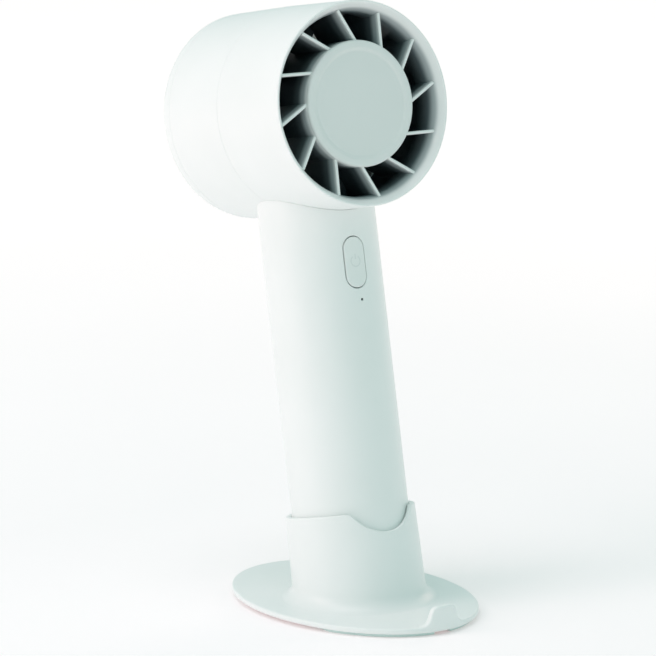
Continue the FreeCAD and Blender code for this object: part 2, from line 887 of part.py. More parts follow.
# The button is a rounded key whose face follows the handle. Keepers above and below stay inside.
key_back = "(handle_r - button_thick)"
key = slot("button_wide", "button_long", "-handle_r * 2", "-" + key_back, button_z)
skin = cylinder("handle_r + button_proud", "button_long * 2", z=button_z + " - button_long")
keepers = box(
    ("-keeper_wide / 2", "keeper_wide / 2"),
    ("-" + key_back, "-%s + keeper_thick" % key_back),
    (button_z + " - button_long / 2 - tongue", button_z + " + button_long / 2 + tongue"),
)
node(fuse(common(key, skin), keepers), "power_button", in_handle)
plunger = cylinder("plunger_r", "plunger_len", y="-%s + keeper_thick" % key_back, z=button_z, along="y")
node(group([plunger]), "switch_plunger", in_handle)

light_pipe = fuse(
    cylinder("light_r", "board_in", "light_x", "-handle_r", light_z, along="y"),
    cylinder("light_foot_r", "board_in / 2", "light_x", "-%s" % bore_r + " + board_in / 8", light_z, along="y"),
)
node(light_pipe, "light_pipe", in_handle)


# ---- circuit board ----
board_front = "(%s - board_in)" % bore_r
board_low = "(%s - board_below)" % button_z
board_high = "(%s + board_above)" % button_z
screw_x = "(board_wide / 2 - slip - post_wide / 2)"
screw_spots = [
    ("-" + screw_x, board_low + " + small_head_r * 2"),
    (screw_x, board_high + " - small_head_r * 2"),
]
board_holes = [
    cylinder("small_screw_r + slip", "board_in", x, "-%s - board_in / 2" % board_front, z, along="y")
    for x, z in screw_spots
]
board = box(
    ("-board_wide / 2", "board_wide / 2"),
    ("-" + board_front, "-" + board_back),
    (board_low, board_high),
)
node(cut(board, *board_holes), "main_pcb", in_handle)


def board_screw(x, z):
    top = "-%s - small_head" % board_front
    return fuse(
        cylinder("small_head_r", "small_head", x, top, z, along="y"),
        cylinder("small_screw_r", "small_screw_len", x, top, z, along="y"),
    )


node(group(board_screw(x, z) for x, z in screw_spots), "pcb_screws", in_handle)

switch_body = cut(
    box(
        ("-switch_side / 2", "switch_side / 2"),
        ("-%s - switch_tall" % board_front, "-" + board_front),
        (button_z + " - switch_side / 2", button_z + " + switch_side / 2"),
    ),
    cylinder("well_r", "well_deep + 1", y="-%s - switch_tall - 1" % board_front, z=button_z, along="y"),
)
node(switch_body, "tact_switch", in_handle)

# Chips on the board: half width, distance up from the board's lower end, length, height, side.
chips = [
    (2.5, 18.2, 5.0, 1.0, "back"),
    (1.2, 2.1, 3.0, 1.0, "back"),
    (2.0, 5.1, 4.0, 1.8, "front"),
]
parts_on_board = []
for half, up, long, tall, side in chips:
    near = "-" + board_back if side == "back" else "-%s - %s" % (board_front, tall)
    low = "%s + %s" % (board_low, up)
    parts_on_board.append(box(
        ("-%s" % half, str(half)),
        (near, "%s + %s" % (near, tall)),
        (low, "%s + %s" % (low, long)),
    ))
node(group(parts_on_board), "pcb_components", in_handle)

lamp = box(
    ("light_x - light_foot_r / 2", "light_x + light_foot_r / 2"),
    ("-%s - light_foot_r / 2" % board_front, "-" + board_front),
    (light_z + " - light_r", light_z + " + light_r"),
)
node(group([lamp]), "charge_led", in_handle)

plug_z = board_high + " - slip - plug_tall"
plug_reach = "(head_up - (%s + plug_tall) + crimp) * cos(lean - tilt) - %s * sin(lean - tilt)" % (
    plug_z,
    board_back,
)
lead_y = "((lead_z - head_front) * cos(lean - tilt) + (%s) * sin(lean - tilt))" % plug_reach
plug = box(
    ("-plug_wide / 2", "plug_wide / 2"),
    ("-" + board_back, lead_y + " + plug_behind"),
    (plug_z, plug_z + " + plug_tall"),
)
node(group([plug]), "motor_plug", in_handle)


# ---- battery ----
wire_y = "(%s - wire_r)" % board_back              # in front of the axis
cell_side = "sqrt((cell_r + wire_r + wire_clear) ^ 2 - wire_apart ^ 2)"
cell_y = "(%s - %s)" % (cell_side, wire_y)            # behind the axis when positive
cell_low = "(handle_low + cell_up)"
cell_high = "(%s + cell_len)" % cell_low
cell = fuse(
    cylinder("cell_r", "cell_len", y=cell_y, z=cell_low),
    cylinder("cell_tip_r", "cell_len + cell_tip", y=cell_y, z=cell_low),
)
node(cell, "battery_cell", in_handle)
pad_low = tube_low
node(
    group([cylinder("cell_r - 1", "%s - tab_thick - (%s)" % (cell_low, pad_low), y=cell_y, z=pad_low)]),
    "battery_pad",
    in_handle,
)
lead_end = "%s + wire_lap" % board_low
tab_far = "-%s + wire_r" % wire_y
tab_near = "%s + cell_tip_r" % cell_y
front_edge = "-%s - wire_r / 2" % wire_y
bottom_tab = box(
    ("-wire_apart - wire_r", "-wire_r"),
    (front_edge, tab_near),
    (cell_low + " - tab_thick", cell_low),
)
top_z = cell_high + " + cell_tip"
top_tab = box(
    ("wire_r", "wire_apart + wire_r"),
    (front_edge, tab_near),
    (top_z, top_z + " + tab_thick"),
)
node(group([bottom_tab, top_tab]), "battery_tabs", in_handle)
long_lead = cylinder("wire_r", "%s - %s" % (lead_end, cell_low), "-wire_apart", "-" + wire_y, cell_low)
short_z = top_z + " + tab_thick"
short_lead = cylinder("wire_r", "%s - (%s)" % (lead_end, short_z), "wire_apart", "-" + wire_y, short_z)
node(group([long_lead, short_lead]), "battery_leads", in_handle)


# ---- charging port ----
port_front = "(handle_r - port_sunk)"
port_back = "(%s - port_deep)" % port_front
charge_y = "(%s - port_wall - charge_r - wire_clear * 3)" % port_back
receptacle = fuse(
    cut(
        flat_slot("port_wide", "port_tall", port_back, port_front, port_z),
        flat_slot(
            "port_wide - 2 * port_wall",
            "port_tall - 2 * port_wall",
            port_back + " + port_wall * 2",
            "handle_r * 2",
            port_z,
        ),
    ),
    box(
        ("-port_wide * 0.37", "port_wide * 0.37"),
        (port_back, port_front + " - port_wall * 3"),
        (port_z + " - port_tall / 9", port_z + " + port_tall / 9"),
    ),
)
node(receptacle, "charge_port", in_handle)
shelf_z = "(%s - port_tall / 2 - port_board_thick)" % port_z
shelf_rear = "(%s - wire_r * 3 - wire_clear)" % bore_r
port_board = box(
    ("-port_board_wide / 2", "port_board_wide / 2"),
    (shelf_rear + " - port_board_long", shelf_rear),
    (shelf_z, shelf_z + " + port_board_thick"),
)
node(group([port_board]), "charge_board", in_handle)
land_z = "(%s + charge_up)" % board_low
charge_ends = []
for side in ("-", ""):
    lead = doc.addObject("Part::Feature", "charge_lead")
    lead.Shape = tube("charge_r", [
        (side + "charge_apart", charge_y, shelf_z + " + port_board_thick"),
        (side + "charge_apart", charge_y, land_z),
        (side + "charge_apart", "-" + board_back, land_z),
    ], "charge_turn")
    charge_ends.append(lead)
node(group(charge_ends), "charge_leads", in_handle)


# ---- cradle that holds the cell and the board ----
rib_levels = [
    cell_low + " + rib_thick",
    cell_low + " + cell_len * 0.7",
    cell_high + " + cell_tip + tab_thick + wire_clear",
]
top_rib = rib_levels[-1]
ribs = [cylinder(neck_r, "rib_thick", z=level) for level in rib_levels]


def both_sides(near, far_edge, y_span, z_span):
    """The same block on the left and on the right."""
    return [
        box((near, far_edge), y_span, z_span),
        box(("-(%s)" % far_edge, "-(%s)" % near), y_span, z_span),
    ]


rails = both_sides(
    "cell_r + rail_gap",
    "cell_r + rail_gap + rail_wide",
    (cell_y + " - rail_deep / 2", cell_y + " + rail_deep / 2"),
    (rib_levels[0], top_rib + " + rib_thick"),
)
posts = both_sides(
    "board_wide / 2 - post_wide - slip",
    "board_wide / 2 - slip",
    ("-" + board_back, "-%s + post_deep" % board_back),
    (top_rib, board_high),
)
stilts = both_sides(
    "port_board_wide / 2 - rail_wide",
    "port_board_wide / 2",
    (shelf_rear + " - rail_wide", shelf_rear),
    (rib_levels[0], shelf_z),
)
wire_ways = [
    box(
        ("-wire_apart - wire_r * 2", "wire_apart + wire_r * 2"),
        ("-%s - wire_r * 2" % wire_y, "-%s + wire_r * 2" % wire_y),
        ("0", "%s + rib_thick" % top_rib),
    ),
    box(
        ("-charge_apart - charge_r * 2", "charge_apart + charge_r * 2"),
        (charge_y + " - charge_r * 2", charge_y + " + charge_r * 2"),
        ("0", "%s + rib_thick * 2" % top_rib),
    ),
]
screw_wells = [
    cylinder("small_screw_r", "small_screw_len", x, "-%s" % board_front, z, along="y")
    for x, z in screw_spots
]
cell_bore = cylinder("cell_r + cell_gap", "%s - 1" % top_rib, y=cell_y, z="0")
cradle = fuse(*ribs, *rails, *posts, *stilts)
node(cut(cradle, cell_bore, *wire_ways, *screw_wells), "battery_cradle", in_handle)


# ---- motor lead ----
lead = doc.addObject("Part::Feature", "motor_lead")
lead.Shape = tube("lead_r", [
    ("0", plug_reach, "lead_z"),
    ("0", "lead_in", "lead_z"),
    ("0", "lead_in", core_z + " - coil_over"),
], "lead_turn")
node(lead, "motor_lead", in_head)


# ---- stand ----
def oval(inset, low, high):
    """Oval prism with the plate's outline, smaller all round by the inset."""
    curve = doc.addObject("Part::Ellipse", "oval")
    bind(curve, MajorRadius="plate_long / 2 - (%s)" % inset, MinorRadius="plate_wide / 2 - (%s)" % inset)
    curve.Placement.Rotation = FreeCAD.Rotation(FreeCAD.Vector(0, 0, 1), 90)
    move(curve, y="foot_y + plate_shift", z=low)
    prism = doc.addObject("Part::Extrusion", "prism")
    prism.Base = curve
    prism.DirMode = "Custom"
    prism.Dir = FreeCAD.Vector(0, 0, 1)
    prism.Solid = True
    bind(prism, LengthFwd="(%s) - (%s)" % (high, low))
    return prism


plate_top = "(plate_low + plate_thick)"
socket_r = "(handle_r + socket_gap)"
collar_r = "(%s + collar_wall)" % socket_r
far = "plate_long * 2"


def placed(item):
    in_handle(item)
    return item


def round_edges(item, size, wanted):
    """Round the edges of a finished shape that the test picks."""
    doc.recompute()
    rounded = doc.addObject("Part::Fillet", "softened")
    rounded.Base = item
    picks = [number for number, edge in enumerate(item.Shape.Edges, 1) if wanted(edge)]
    if not picks:
        raise RuntimeError("no edge to round")
    rounded.Edges = [(number, value(size), value(size)) for number in picks]
    return rounded


plate = oval("0", "plate_low", plate_top)
wall = placed(group([cone(
    collar_r + " + collar_flare * (1 + plate_low * 5 / collar_top)",
    collar_r,
    "collar_top + plate_low * 5",
    "-plate_low * 5",
)]))
below = box(("-" + far, far), ("-" + far, far), ("-" + far, "plate_low"))

# The phone stop follows the plate's rim: hollow flanks below, rounded shoulders above.
crown = "stop_half - stop_fillet"
shoulder_z = plate_top + " + stop_fillet"
flanks = cut(
    box(("-stop_half", "stop_half"), ("-" + far, "foot_y"), ("plate_low", shoulder_z)),
    cylinder("stop_fillet", far, "stop_half", "-" + far, shoulder_z, along="y"),
    cylinder("stop_fillet", far, "-stop_half", "-" + far, shoulder_z, along="y"),
)
shoulders = [
    cylinder("stop_round", far, "%s(%s - stop_round)" % (sign, crown), "-" + far, shoulder_z, along="y")
    for sign in ("", "-")
]
middle = box(
    ("-(%s - stop_round)" % crown, "%s - stop_round" % crown),
    ("-" + far, "foot_y"),
    ("plate_low", shoulder_z + " + stop_round"),
)
rim_ring = cut(oval("0", "plate_low", "plate_long"), oval("stop_thick", "0", "plate_long * 2"))
stop = common(fuse(flanks, *shoulders, middle), rim_ring)
body = cut(fuse(plate, wall, stop), below)


def on_foot(edge):
    """The curve where the outside of the socket meets the plate."""
    box_of = edge.BoundBox
    level = abs(box_of.ZMin - value(plate_top)) < 0.01 and abs(box_of.ZMax - value(plate_top)) < 0.01
    wide = value(collar_r) * 1.9 < box_of.XLength < value(collar_r) * 2.3
    return level and wide


def on_low_rim(edge):
    """The plate's lower edge."""
    return abs(edge.BoundBox.ZMax - value("plate_low")) < 0.01


def on_scoop_corner(edge):
    """The two short edges where the scoop meets the top of the socket."""
    spot = FreeCAD.Placement(
        FreeCAD.Vector(0, value("foot_y"), 0),
        FreeCAD.Rotation(down, value("lean")),
    ).inverse().multVec(edge.CenterOfMass)
    short = edge.Length < value("collar_wall + collar_flare") * 1.5
    return short and abs(spot.z - value("collar_top")) < 0.05 and spot.y < 0


softened = round_edges(round_edges(body, "collar_fillet", on_foot), "plate_round", on_low_rim)
pocket = placed(fuse(
    cylinder(socket_r, far, z="handle_low - rest_gap"),
    cylinder(socket_r, "plate_long", z="handle_low - rest_gap - socket_floor - plate_long"),
    cylinder("scoop_r", far, y="-" + far, z="scoop_low + scoop_r", along="y"),
))
node(round_edges(cut(softened, pocket), "scoop_round", on_scoop_corner), "stand_base")

for label, x_span, y_span in (
    ("foot_front_left", ("-pad_to", "-pad_from"), ("-" + far, "foot_y")),
    ("foot_front_right", ("pad_from", "pad_to"), ("-" + far, "foot_y")),
    ("foot_rear_left", ("-pad_to", "-pad_from"), ("foot_y + 2 * plate_shift", far)),
    ("foot_rear_right", ("pad_from", "pad_to"), ("foot_y + 2 * plate_shift", far)),
):
    band = cut(oval("pad_inset", "0", "plate_low"), oval("pad_inset + pad_wide", "-1", "plate_low + 1"))
    node(common(band, box(x_span, y_span, ("-1", "plate_low + 1"))), label)


# ---- checks and files ----
doc.recompute()
for item in doc.Objects:
    if "Invalid" in item.State or "Error" in item.State:
        raise RuntimeError("%s (%s) did not build: %s" % (item.Name, item.Label, item.State))
for label, item in nodes.items():
    if item.Shape.isNull() or not item.Shape.isValid() or not item.Shape.Solids:
        raise RuntimeError("%s has no sound shape" % label)
    print("%-18s solids %d  volume %9.1f mm3" % (label, len(item.Shape.Solids), item.Shape.Volume))
os.makedirs("parts", exist_ok=True)
for label, item in nodes.items():
    item.Shape.exportStep("parts/%s.step" % label)
print("%d pieces written" % len(nodes))
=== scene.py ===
import json
from math import asin, atan2, cos, pi, radians, sin, sqrt, tan

import bmesh
import bpy
from mathutils import Matrix, Vector


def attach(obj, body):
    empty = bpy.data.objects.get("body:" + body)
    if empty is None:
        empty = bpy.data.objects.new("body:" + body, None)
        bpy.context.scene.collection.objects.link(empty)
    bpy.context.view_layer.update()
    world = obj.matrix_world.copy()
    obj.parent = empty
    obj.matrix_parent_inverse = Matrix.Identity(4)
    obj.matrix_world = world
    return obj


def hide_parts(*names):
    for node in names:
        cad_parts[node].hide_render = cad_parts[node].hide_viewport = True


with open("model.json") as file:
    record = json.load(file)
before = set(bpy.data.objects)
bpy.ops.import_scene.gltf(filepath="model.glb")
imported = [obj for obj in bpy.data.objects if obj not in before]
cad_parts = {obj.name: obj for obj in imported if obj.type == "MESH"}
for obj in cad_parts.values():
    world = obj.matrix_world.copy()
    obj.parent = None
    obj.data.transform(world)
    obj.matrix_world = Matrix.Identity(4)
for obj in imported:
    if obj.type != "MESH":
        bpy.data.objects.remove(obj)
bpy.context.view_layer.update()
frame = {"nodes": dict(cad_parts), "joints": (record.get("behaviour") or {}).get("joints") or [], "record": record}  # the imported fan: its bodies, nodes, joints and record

scene = bpy.context.scene
mm = 0.001


# Places. Every piece is modelled in millimetres in the frame of the part that it belongs to.
# Head: z runs back from the front rim, y is down. Handle: z runs up its axis, -y is the front.
def frameAlong(origin, direction):
    z = Vector(direction).normalized()
    x = Vector((1, 0, 0))
    place = Matrix((x, z.cross(x), z)).transposed().to_4x4()
    place.translation = origin
    return place


joints = {joint["name"]: joint for joint in frame["joints"]}
mounts = {mount["name"]: mount for mount in frame["record"]["mounts"]}
head = {
    "jointDepth": 40.0,      # front rim to the point that the record gives for the rotor
    "frontRadius": 33.0,
    "seamRadius": 34.14,
    "rearRadius": 34.4,
    "mouthRadius": 32.45,
    "mouthDeep": 3.1,
    "ductRadius": 29.5,
    "boreRadius": 32.34,
    "spigotRadius": 32.79,
    "seamDepth": 33.9,
    "rearDepth": 62.9,
    "endDepth": 69.0,
}
handle = {
    "radius": 19.25,
    "wall": 1.6,
    "low": 7.0,
    "capTop": 10.0,
    "portUp": 37.0,
    "portDepth": 18.6,       # handle axis to the mouth of the charging port
    "buttonUp": 112.1,
    "lightUp": 99.85,
    "lightAcross": 1.0,
    "headUp": 163.27,
    "headFront": 34.07,
}
rotorAxis = Vector(joints["rotor_spin"]["axis"])
handleAxis = Vector(joints["fan_lift"]["axis"])
portAxis = Vector(mounts["usb_c_port"]["axis"])
headOrigin = Vector(joints["rotor_spin"]["pos_m"]) - rotorAxis * head["jointDepth"] * mm
handleOrigin = (
    Vector(mounts["usb_c_port"]["pos_m"])
    - portAxis * handle["portDepth"] * mm
    - handleAxis * handle["portUp"] * mm
)
headPlace = frameAlong(headOrigin, rotorAxis)
handlePlace = frameAlong(handleOrigin, handleAxis)
groundPlace = Matrix.Identity(4)
lean = atan2(handleAxis.y, handleAxis.z)
headLean = lean - atan2(-rotorAxis.z, rotorAxis.y)
footY = handleOrigin.y / mm


# Materials
def toLinear(hexCode):
    shades = [int(hexCode[at:at + 2], 16) / 255 for at in (1, 3, 5)]
    return [s / 12.92 if s <= 0.04045 else ((s + 0.055) / 1.055) ** 2.4 for s in shades] + [1.0]


def addNode(tree, kind, inputs=None, **settings):
    node = tree.nodes.new("ShaderNode" + kind)
    for name, value in settings.items():
        setattr(node, name, value)
    for socket, value in (inputs or {}).items():
        if isinstance(value, bpy.types.NodeSocket):
            tree.links.new(value, node.inputs[socket])
        else:
            node.inputs[socket].default_value = value
    return node


def newFinish(name, pale, deep, gloss, grain, bump, mottle, metallic=0.0):
    # pale and deep are the two shades, gloss the range of roughness, grain and mottle sizes in mm
    material = bpy.data.materials.new(name)
    material.use_nodes = True
    tree = material.node_tree
    shader = tree.nodes["Principled BSDF"]
    place = addNode(tree, "TexCoord").outputs["Object"]
    clouds = addNode(tree, "TexNoise", {"Vector": place, "Scale": 1 / (mottle * mm), "Detail": 3.0})
    fine = addNode(tree, "TexNoise", {"Vector": place, "Scale": 1 / (grain * mm), "Detail": 4.0})
    shades = {0: clouds.outputs[0], 6: toLinear(deep), 7: toLinear(pale)}
    tint = addNode(tree, "Mix", shades, data_type="RGBA")
    blur = addNode(tree, "MapRange", {
        "Value": fine.outputs[0],
        "From Min": 0.3,
        "From Max": 0.7,
        "To Min": gloss[0],
        "To Max": gloss[1],
    })
    relief = addNode(tree, "Bump", {
        "Strength": bump,
        "Distance": grain * mm * 0.25,
        "Height": fine.outputs[0],
    })
    tree.links.new(tint.outputs[2], shader.inputs["Base Color"])
    tree.links.new(blur.outputs[0], shader.inputs["Roughness"])
    tree.links.new(relief.outputs[0], shader.inputs["Normal"])
    shader.inputs["Metallic"].default_value = metallic
    return material


def headCoordinates(tree):
    # Row frame to head frame, so that depth in the duct is z and the radius is in x and y
    inverse = headPlace.inverted()
    place = addNode(tree, "TexCoord").outputs["Object"]
    return addNode(tree, "Mapping", {
        "Vector": place,
        "Location": inverse.translation,
        "Rotation": inverse.to_euler(),
    }).outputs[0]


def paintDuctShade(material, insideRadius, stops):
    # Painted shade: the base colour is multiplied by a ramp that darkens with depth inside the duct,
    # standing in for the shade deep in it: stops are (depth in mm, shade)
    tree = material.node_tree
    shader = tree.nodes["Principled BSDF"]
    spot = addNode(tree, "SeparateXYZ", {0: headCoordinates(tree)})
    sideways = addNode(tree, "CombineXYZ", {0: spot.outputs[0], 1: spot.outputs[1]})
    radius = addNode(tree, "VectorMath", {0: sideways.outputs[0]}, operation="LENGTH")
    within = addNode(tree, "MapRange", {
        "Value": radius.outputs["Value"],
        "From Min": (insideRadius + 0.3) * mm,
        "From Max": insideRadius * mm,
    })
    first, last = stops[0][0], stops[-1][0]
    depth = addNode(tree, "MapRange", {
        "Value": spot.outputs[2],
        "From Min": first * mm,
        "From Max": last * mm,
    })
    ramp = addNode(tree, "ValToRGB", {0: depth.outputs[0]})
    ramp.color_ramp.interpolation = "EASE"
    marks = ramp.color_ramp.elements
    for index, (stop, shade) in enumerate(stops):
        mark = marks[index] if index < 2 else marks.new(1.0)
        mark.position = (stop - first) / (last - first)
        mark.color = toLinear(shade)
    shaded = addNode(tree, "Mix", {
        0: within.outputs[0],
        6: shader.inputs["Base Color"].links[0].from_socket,
        7: ramp.outputs[0],
    }, data_type="RGBA", blend_type="MULTIPLY")
    tree.links.new(shaded.outputs[2], shader.inputs["Base Color"])
    return material


# ABS, injection moulded in a polished tool: a soft satin gloss with hardly any texture
whiteAbs = newFinish("abs_white_satin", "#f3f6f5", "#ecf0ee", (0.30, 0.38), 0.5, 0.03, 30)
# The same ABS, with painted shade that darkens it with depth where it turns into the duct
shellAbsDuctShade = paintDuctShade(
    newFinish("abs_white_shell_painted_duct_shade", "#f3f6f5", "#ecf0ee", (0.30, 0.38), 0.5, 0.03, 30),
    32.5,
    [(1.6, "#ffffff"), (3.6, "#c4cacc"), (6.5, "#737d82"), (12.0, "#3a4348")],
)
# ABS with a spark-eroded face: matt and even, a shade greyer
hubAbs = newFinish("abs_hub_matt", "#e3e8e6", "#dde3e1", (0.55, 0.68), 0.45, 0.12, 18)
# ABS vanes, with painted shade that darkens them with depth as they run back into the duct
vaneAbsDuctShade = paintDuctShade(
    newFinish("abs_vane_satin_painted_duct_shade", "#eff3f2", "#e8edeb", (0.34, 0.44), 0.5, 0.03, 20),
    40.0,
    [(2.7, "#ffffff"), (5.0, "#bfc6c9"), (8.0, "#5c666b"), (11.5, "#394248")],
)
# ABS key, satin like the handle
buttonAbs = newFinish("abs_button_satin", "#eff3f1", "#e8edeb", (0.30, 0.40), 0.5, 0.04, 12)
# Pad-printed mark: a slightly greyer, flatter ink
markInk = newFinish("ink_pad_printed", "#e3e9e7", "#dfe5e3", (0.45, 0.55), 0.3, 0.05, 5)
# Pale elastomer pads: dull and faintly speckled; their green-cyan tint is painted in to offset the
# pink glow of the floor that lights them from below
footRubber = newFinish("rubber_pale_moulded", "#d9eeea", "#cee5e0", (0.62, 0.78), 0.6, 0.15, 9)
# Dark clear acrylic light guide: glossy
lightAcrylic = newFinish("acrylic_dark_clear", "#20282b", "#161c1f", (0.08, 0.14), 0.3, 0.02, 3)
# Glass-filled nylon: near black, dull, with flow marks of the short fibres
impellerNylon = newFinish("nylon_glass_filled", "#4a545b", "#3a4349", (0.42, 0.58), 0.6, 0.12, 7)
# Nickel-plated pressed steel: bright with a faint rolled grain
platedSteel = newFinish("steel_nickel_plated", "#c9cacb", "#b6b8ba", (0.18, 0.30), 0.4, 0.04, 6, 1.0)
# Ground bearing steel: brighter still
hardSteel = newFinish("steel_ground", "#d2d3d5", "#c0c2c5", (0.10, 0.20), 0.3, 0.03, 4, 1.0)
# Bonded ferrite: dark grey and powdery
magnet = newFinish("ferrite_bonded", "#3a3a3c", "#2a2a2c", (0.6, 0.78), 0.5, 0.2, 4)
# Aluminium, die-cast: grey with a fine skin
castAluminium = newFinish("aluminium_die_cast", "#b9bbbd", "#a4a6a9", (0.36, 0.52), 0.6, 0.15, 6, 1.0)
# Laminated steel under epoxy: dark blue, half gloss
coreSteel = newFinish("epoxy_coated_core", "#2c3a58", "#22304a", (0.34, 0.48), 0.7, 0.12, 5)
# Zinc-plated screws: pale and slightly cloudy
zincSteel = newFinish("steel_zinc_plated", "#c4c6c4", "#adb0ad", (0.26, 0.40), 0.4, 0.06, 2.5, 1.0)
# Unpolished ABS of the inner pieces
greyAbs = newFinish("abs_grey_plain", "#cfd3d3", "#c3c8c8", (0.48, 0.62), 0.6, 0.08, 14)
# PVC sleeve shrunk on the cell: smooth, blue
cellSleeve = newFinish("pvc_shrink_sleeve", "#2b6aa5", "#235b92", (0.22, 0.34), 0.8, 0.06, 12)
# Closed-cell foam: charcoal with open pores on the cut face
foam = newFinish("foam_closed_cell", "#2e2e30", "#1c1c1e", (0.85, 0.97), 0.5, 0.6, 2)
# Nickel strip: bright, slightly warm
nickel = newFinish("nickel_strip_rolled", "#cbc6bc", "#b9b4aa", (0.22, 0.36), 0.3, 0.05, 3, 1.0)
# Silicone insulation: soft red, dull
siliconeWire = newFinish("silicone_insulation", "#b3312c", "#9c2723", (0.50, 0.64), 0.5, 0.08, 5)
# Solder mask over glass cloth: green and glossy, with the weave just showing
fibreglass = newFinish("solder_mask_green", "#14633a", "#0f5430", (0.20, 0.34), 0.6, 0.15, 8)
# Moulded epoxy packages
chipEpoxy = newFinish("epoxy_package_black", "#242426", "#1b1b1d", (0.50, 0.62), 0.25, 0.1, 2)
# Moulded nylon of the switch
switchNylon = newFinish("nylon_black_moulded", "#27282b", "#1e1f22", (0.42, 0.55), 0.4, 0.08, 3)
# Natural nylon of the plug: milky
plugNylon = newFinish("nylon_natural", "#e3dfcf", "#d8d3c1", (0.40, 0.52), 0.5, 0.06, 4)
# Enamelled copper, wound in layers: fine ridges as wide as the wire, 0.3 mm
copper = newFinish("copper_enamelled_wound", "#b5622f", "#9a4d22", (0.24, 0.36), 0.3, 0.5, 2.5, 1.0)
print("materials made", len(bpy.data.materials))


# Making and placing pieces
def finishPiece(bm, name, place, material, body, replaced=(), sharp=38.0):
    bmesh.ops.remove_doubles(bm, verts=bm.verts, dist=0.002)
    bmesh.ops.recalc_face_normals(bm, faces=bm.faces)
    bmesh.ops.transform(bm, matrix=place @ Matrix.Scale(mm, 4), verts=bm.verts)
    mesh = bpy.data.meshes.new(name)
    bm.to_mesh(mesh)
    bm.free()
    mesh.shade_smooth()
    mesh.set_sharp_from_angle(angle=radians(sharp))
    mesh.materials.append(material)
    piece = bpy.data.objects.new(name, mesh)
    scene.collection.objects.link(piece)
    even = piece.modifiers.new("even_shading", "WEIGHTED_NORMAL")
    even.keep_sharp = True
    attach(piece, body)
    if replaced:
        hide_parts(*replaced)
    print(name, len(mesh.polygons), "faces")
    return piece


def addTurned(bm, corners, steps=288, segments=5):
    # A closed outline of (radius, depth, rounding) turned about the z axis
    points = [bm.verts.new((radius, 0, depth)) for radius, depth, rounding in corners]
    for pair in zip(points, points[1:] + points[:1]):
        bm.edges.new(pair)
    known = set(bm.verts) - set(points)
    for point, (radius, depth, rounding) in zip(points, corners):
        if rounding:
            bmesh.ops.bevel(
                bm, geom=[point], affect="VERTICES", offset=rounding,
                segments=segments, profile=0.5, material=-1,
            )
    wire = [vert for vert in bm.verts if vert not in known]
    edges = list({edge for vert in wire for edge in vert.link_edges})
    bmesh.ops.spin(
        bm, geom=wire + edges, cent=(0, 0, 0), axis=(0, 0, 1),
        angle=2 * pi, steps=steps, use_merge=True,
    )


def edgesBetween(faces, atLeast):
    return [
        edge for edge in {edge for face in faces for edge in face.edges}
        if len(edge.link_faces) == 2 and edge.calc_face_angle(0) > radians(atLeast)
    ]


def bevelEdges(bm, edges, size, segments=3):
    # An edge that an earlier bevel used up is passed over
    bmesh.ops.bevel(
        bm, geom=[edge for edge in edges if edge.is_valid], affect="EDGES", offset=size,
        offset_type="OFFSET", segments=segments, profile=0.5, material=-1,
    )


def faceAlong(bm, direction):
    # Turn a sheet so that its first face looks this way
    bmesh.ops.recalc_face_normals(bm, faces=bm.faces)
    if bm.faces[:][0].normal.dot(Vector(direction)) < 0:
        bmesh.ops.reverse_faces(bm, faces=bm.faces[:])


def copyRound(bm, count):
    bmesh.ops.spin(
        bm, geom=bm.verts[:] + bm.edges[:] + bm.faces[:], cent=(0, 0, 0), axis=(0, 0, 1),
        angle=2 * pi, steps=count, use_duplicate=True, use_merge=False,
    )


def growEdge(bm, edges):
    # A copy of the edges joined to them by faces: gives its edges and its vertices
    made = bmesh.ops.extrude_edge_only(bm, edges=edges)["geom"]
    grown = [item for item in made if isinstance(item, bmesh.types.BMEdge)]
    return grown, [item for item in made if isinstance(item, bmesh.types.BMVert)]


def addBlock(bm, low, high, rounding=0.0, segments=2):
    made = bmesh.ops.create_cube(bm, size=1.0)["verts"]
    low = Vector(low)
    high = Vector(high)
    bmesh.ops.scale(bm, vec=high - low, verts=made)
    bmesh.ops.translate(bm, vec=(low + high) / 2, verts=made)
    if rounding:
        faces = {face for vert in made for face in vert.link_faces}
        bevelEdges(bm, edgesBetween(faces, 60), rounding, segments)
    return made


# Head shells
shell = {
    "rimOutside": 0.4,
    "rimInside": 0.12,
    "mouthBlend": 3.9,       # how far the round between the mouth's cone and the duct reaches
    "seamBreak": 0.16,
    "ductLength": 12.0,
    "spigot": 3.0,
    "spigotWall": 0.85,
    "slip": 0.05,
}


def makeShells():
    seam = head["seamDepth"]
    bore = head["boreRadius"]
    spigot = head["spigotRadius"]
    slip = shell["slip"]
    lap = shell["spigot"]
    bm = bmesh.new()
    addTurned(bm, [
        (head["ductRadius"], head["mouthDeep"], shell["mouthBlend"]),
        (head["mouthRadius"], 0, shell["rimInside"]),
        (head["frontRadius"], 0, shell["rimOutside"]),
        (head["seamRadius"], seam - slip, shell["seamBreak"]),
        (spigot + slip, seam - slip, 0),
        (spigot + slip, seam - lap - slip, 0),
        (bore, seam - lap - slip, 0),
        (bore, shell["ductLength"], 0),
        (head["ductRadius"], shell["ductLength"], 0.1),
    ], segments=9)
    finishPiece(bm, "front_shell_skin", headPlace, shellAbsDuctShade, "fan", ["front_shell"])

    # The rear shell plugs into the front one with a spigot
    rear = head["rearDepth"]
    inner = spigot - shell["spigotWall"]
    bm = bmesh.new()
    addTurned(bm, [
        (inner, seam - lap, 0),
        (spigot, seam - lap, 0.2),
        (spigot, seam, 0),
        (head["seamRadius"], seam, shell["seamBreak"]),
        (head["rearRadius"], rear - slip, shell["seamBreak"]),
        (spigot + slip, rear - slip, 0),
        (spigot + slip, rear - lap - slip, 0),
        (bore, rear - lap - slip, 0),
        (bore, seam + lap, 0),
        (inner, seam + lap - shell["spigotWall"], 0),
    ])
    finishPiece(bm, "rear_shell_skin", headPlace, whiteAbs, "fan", ["rear_shell"])


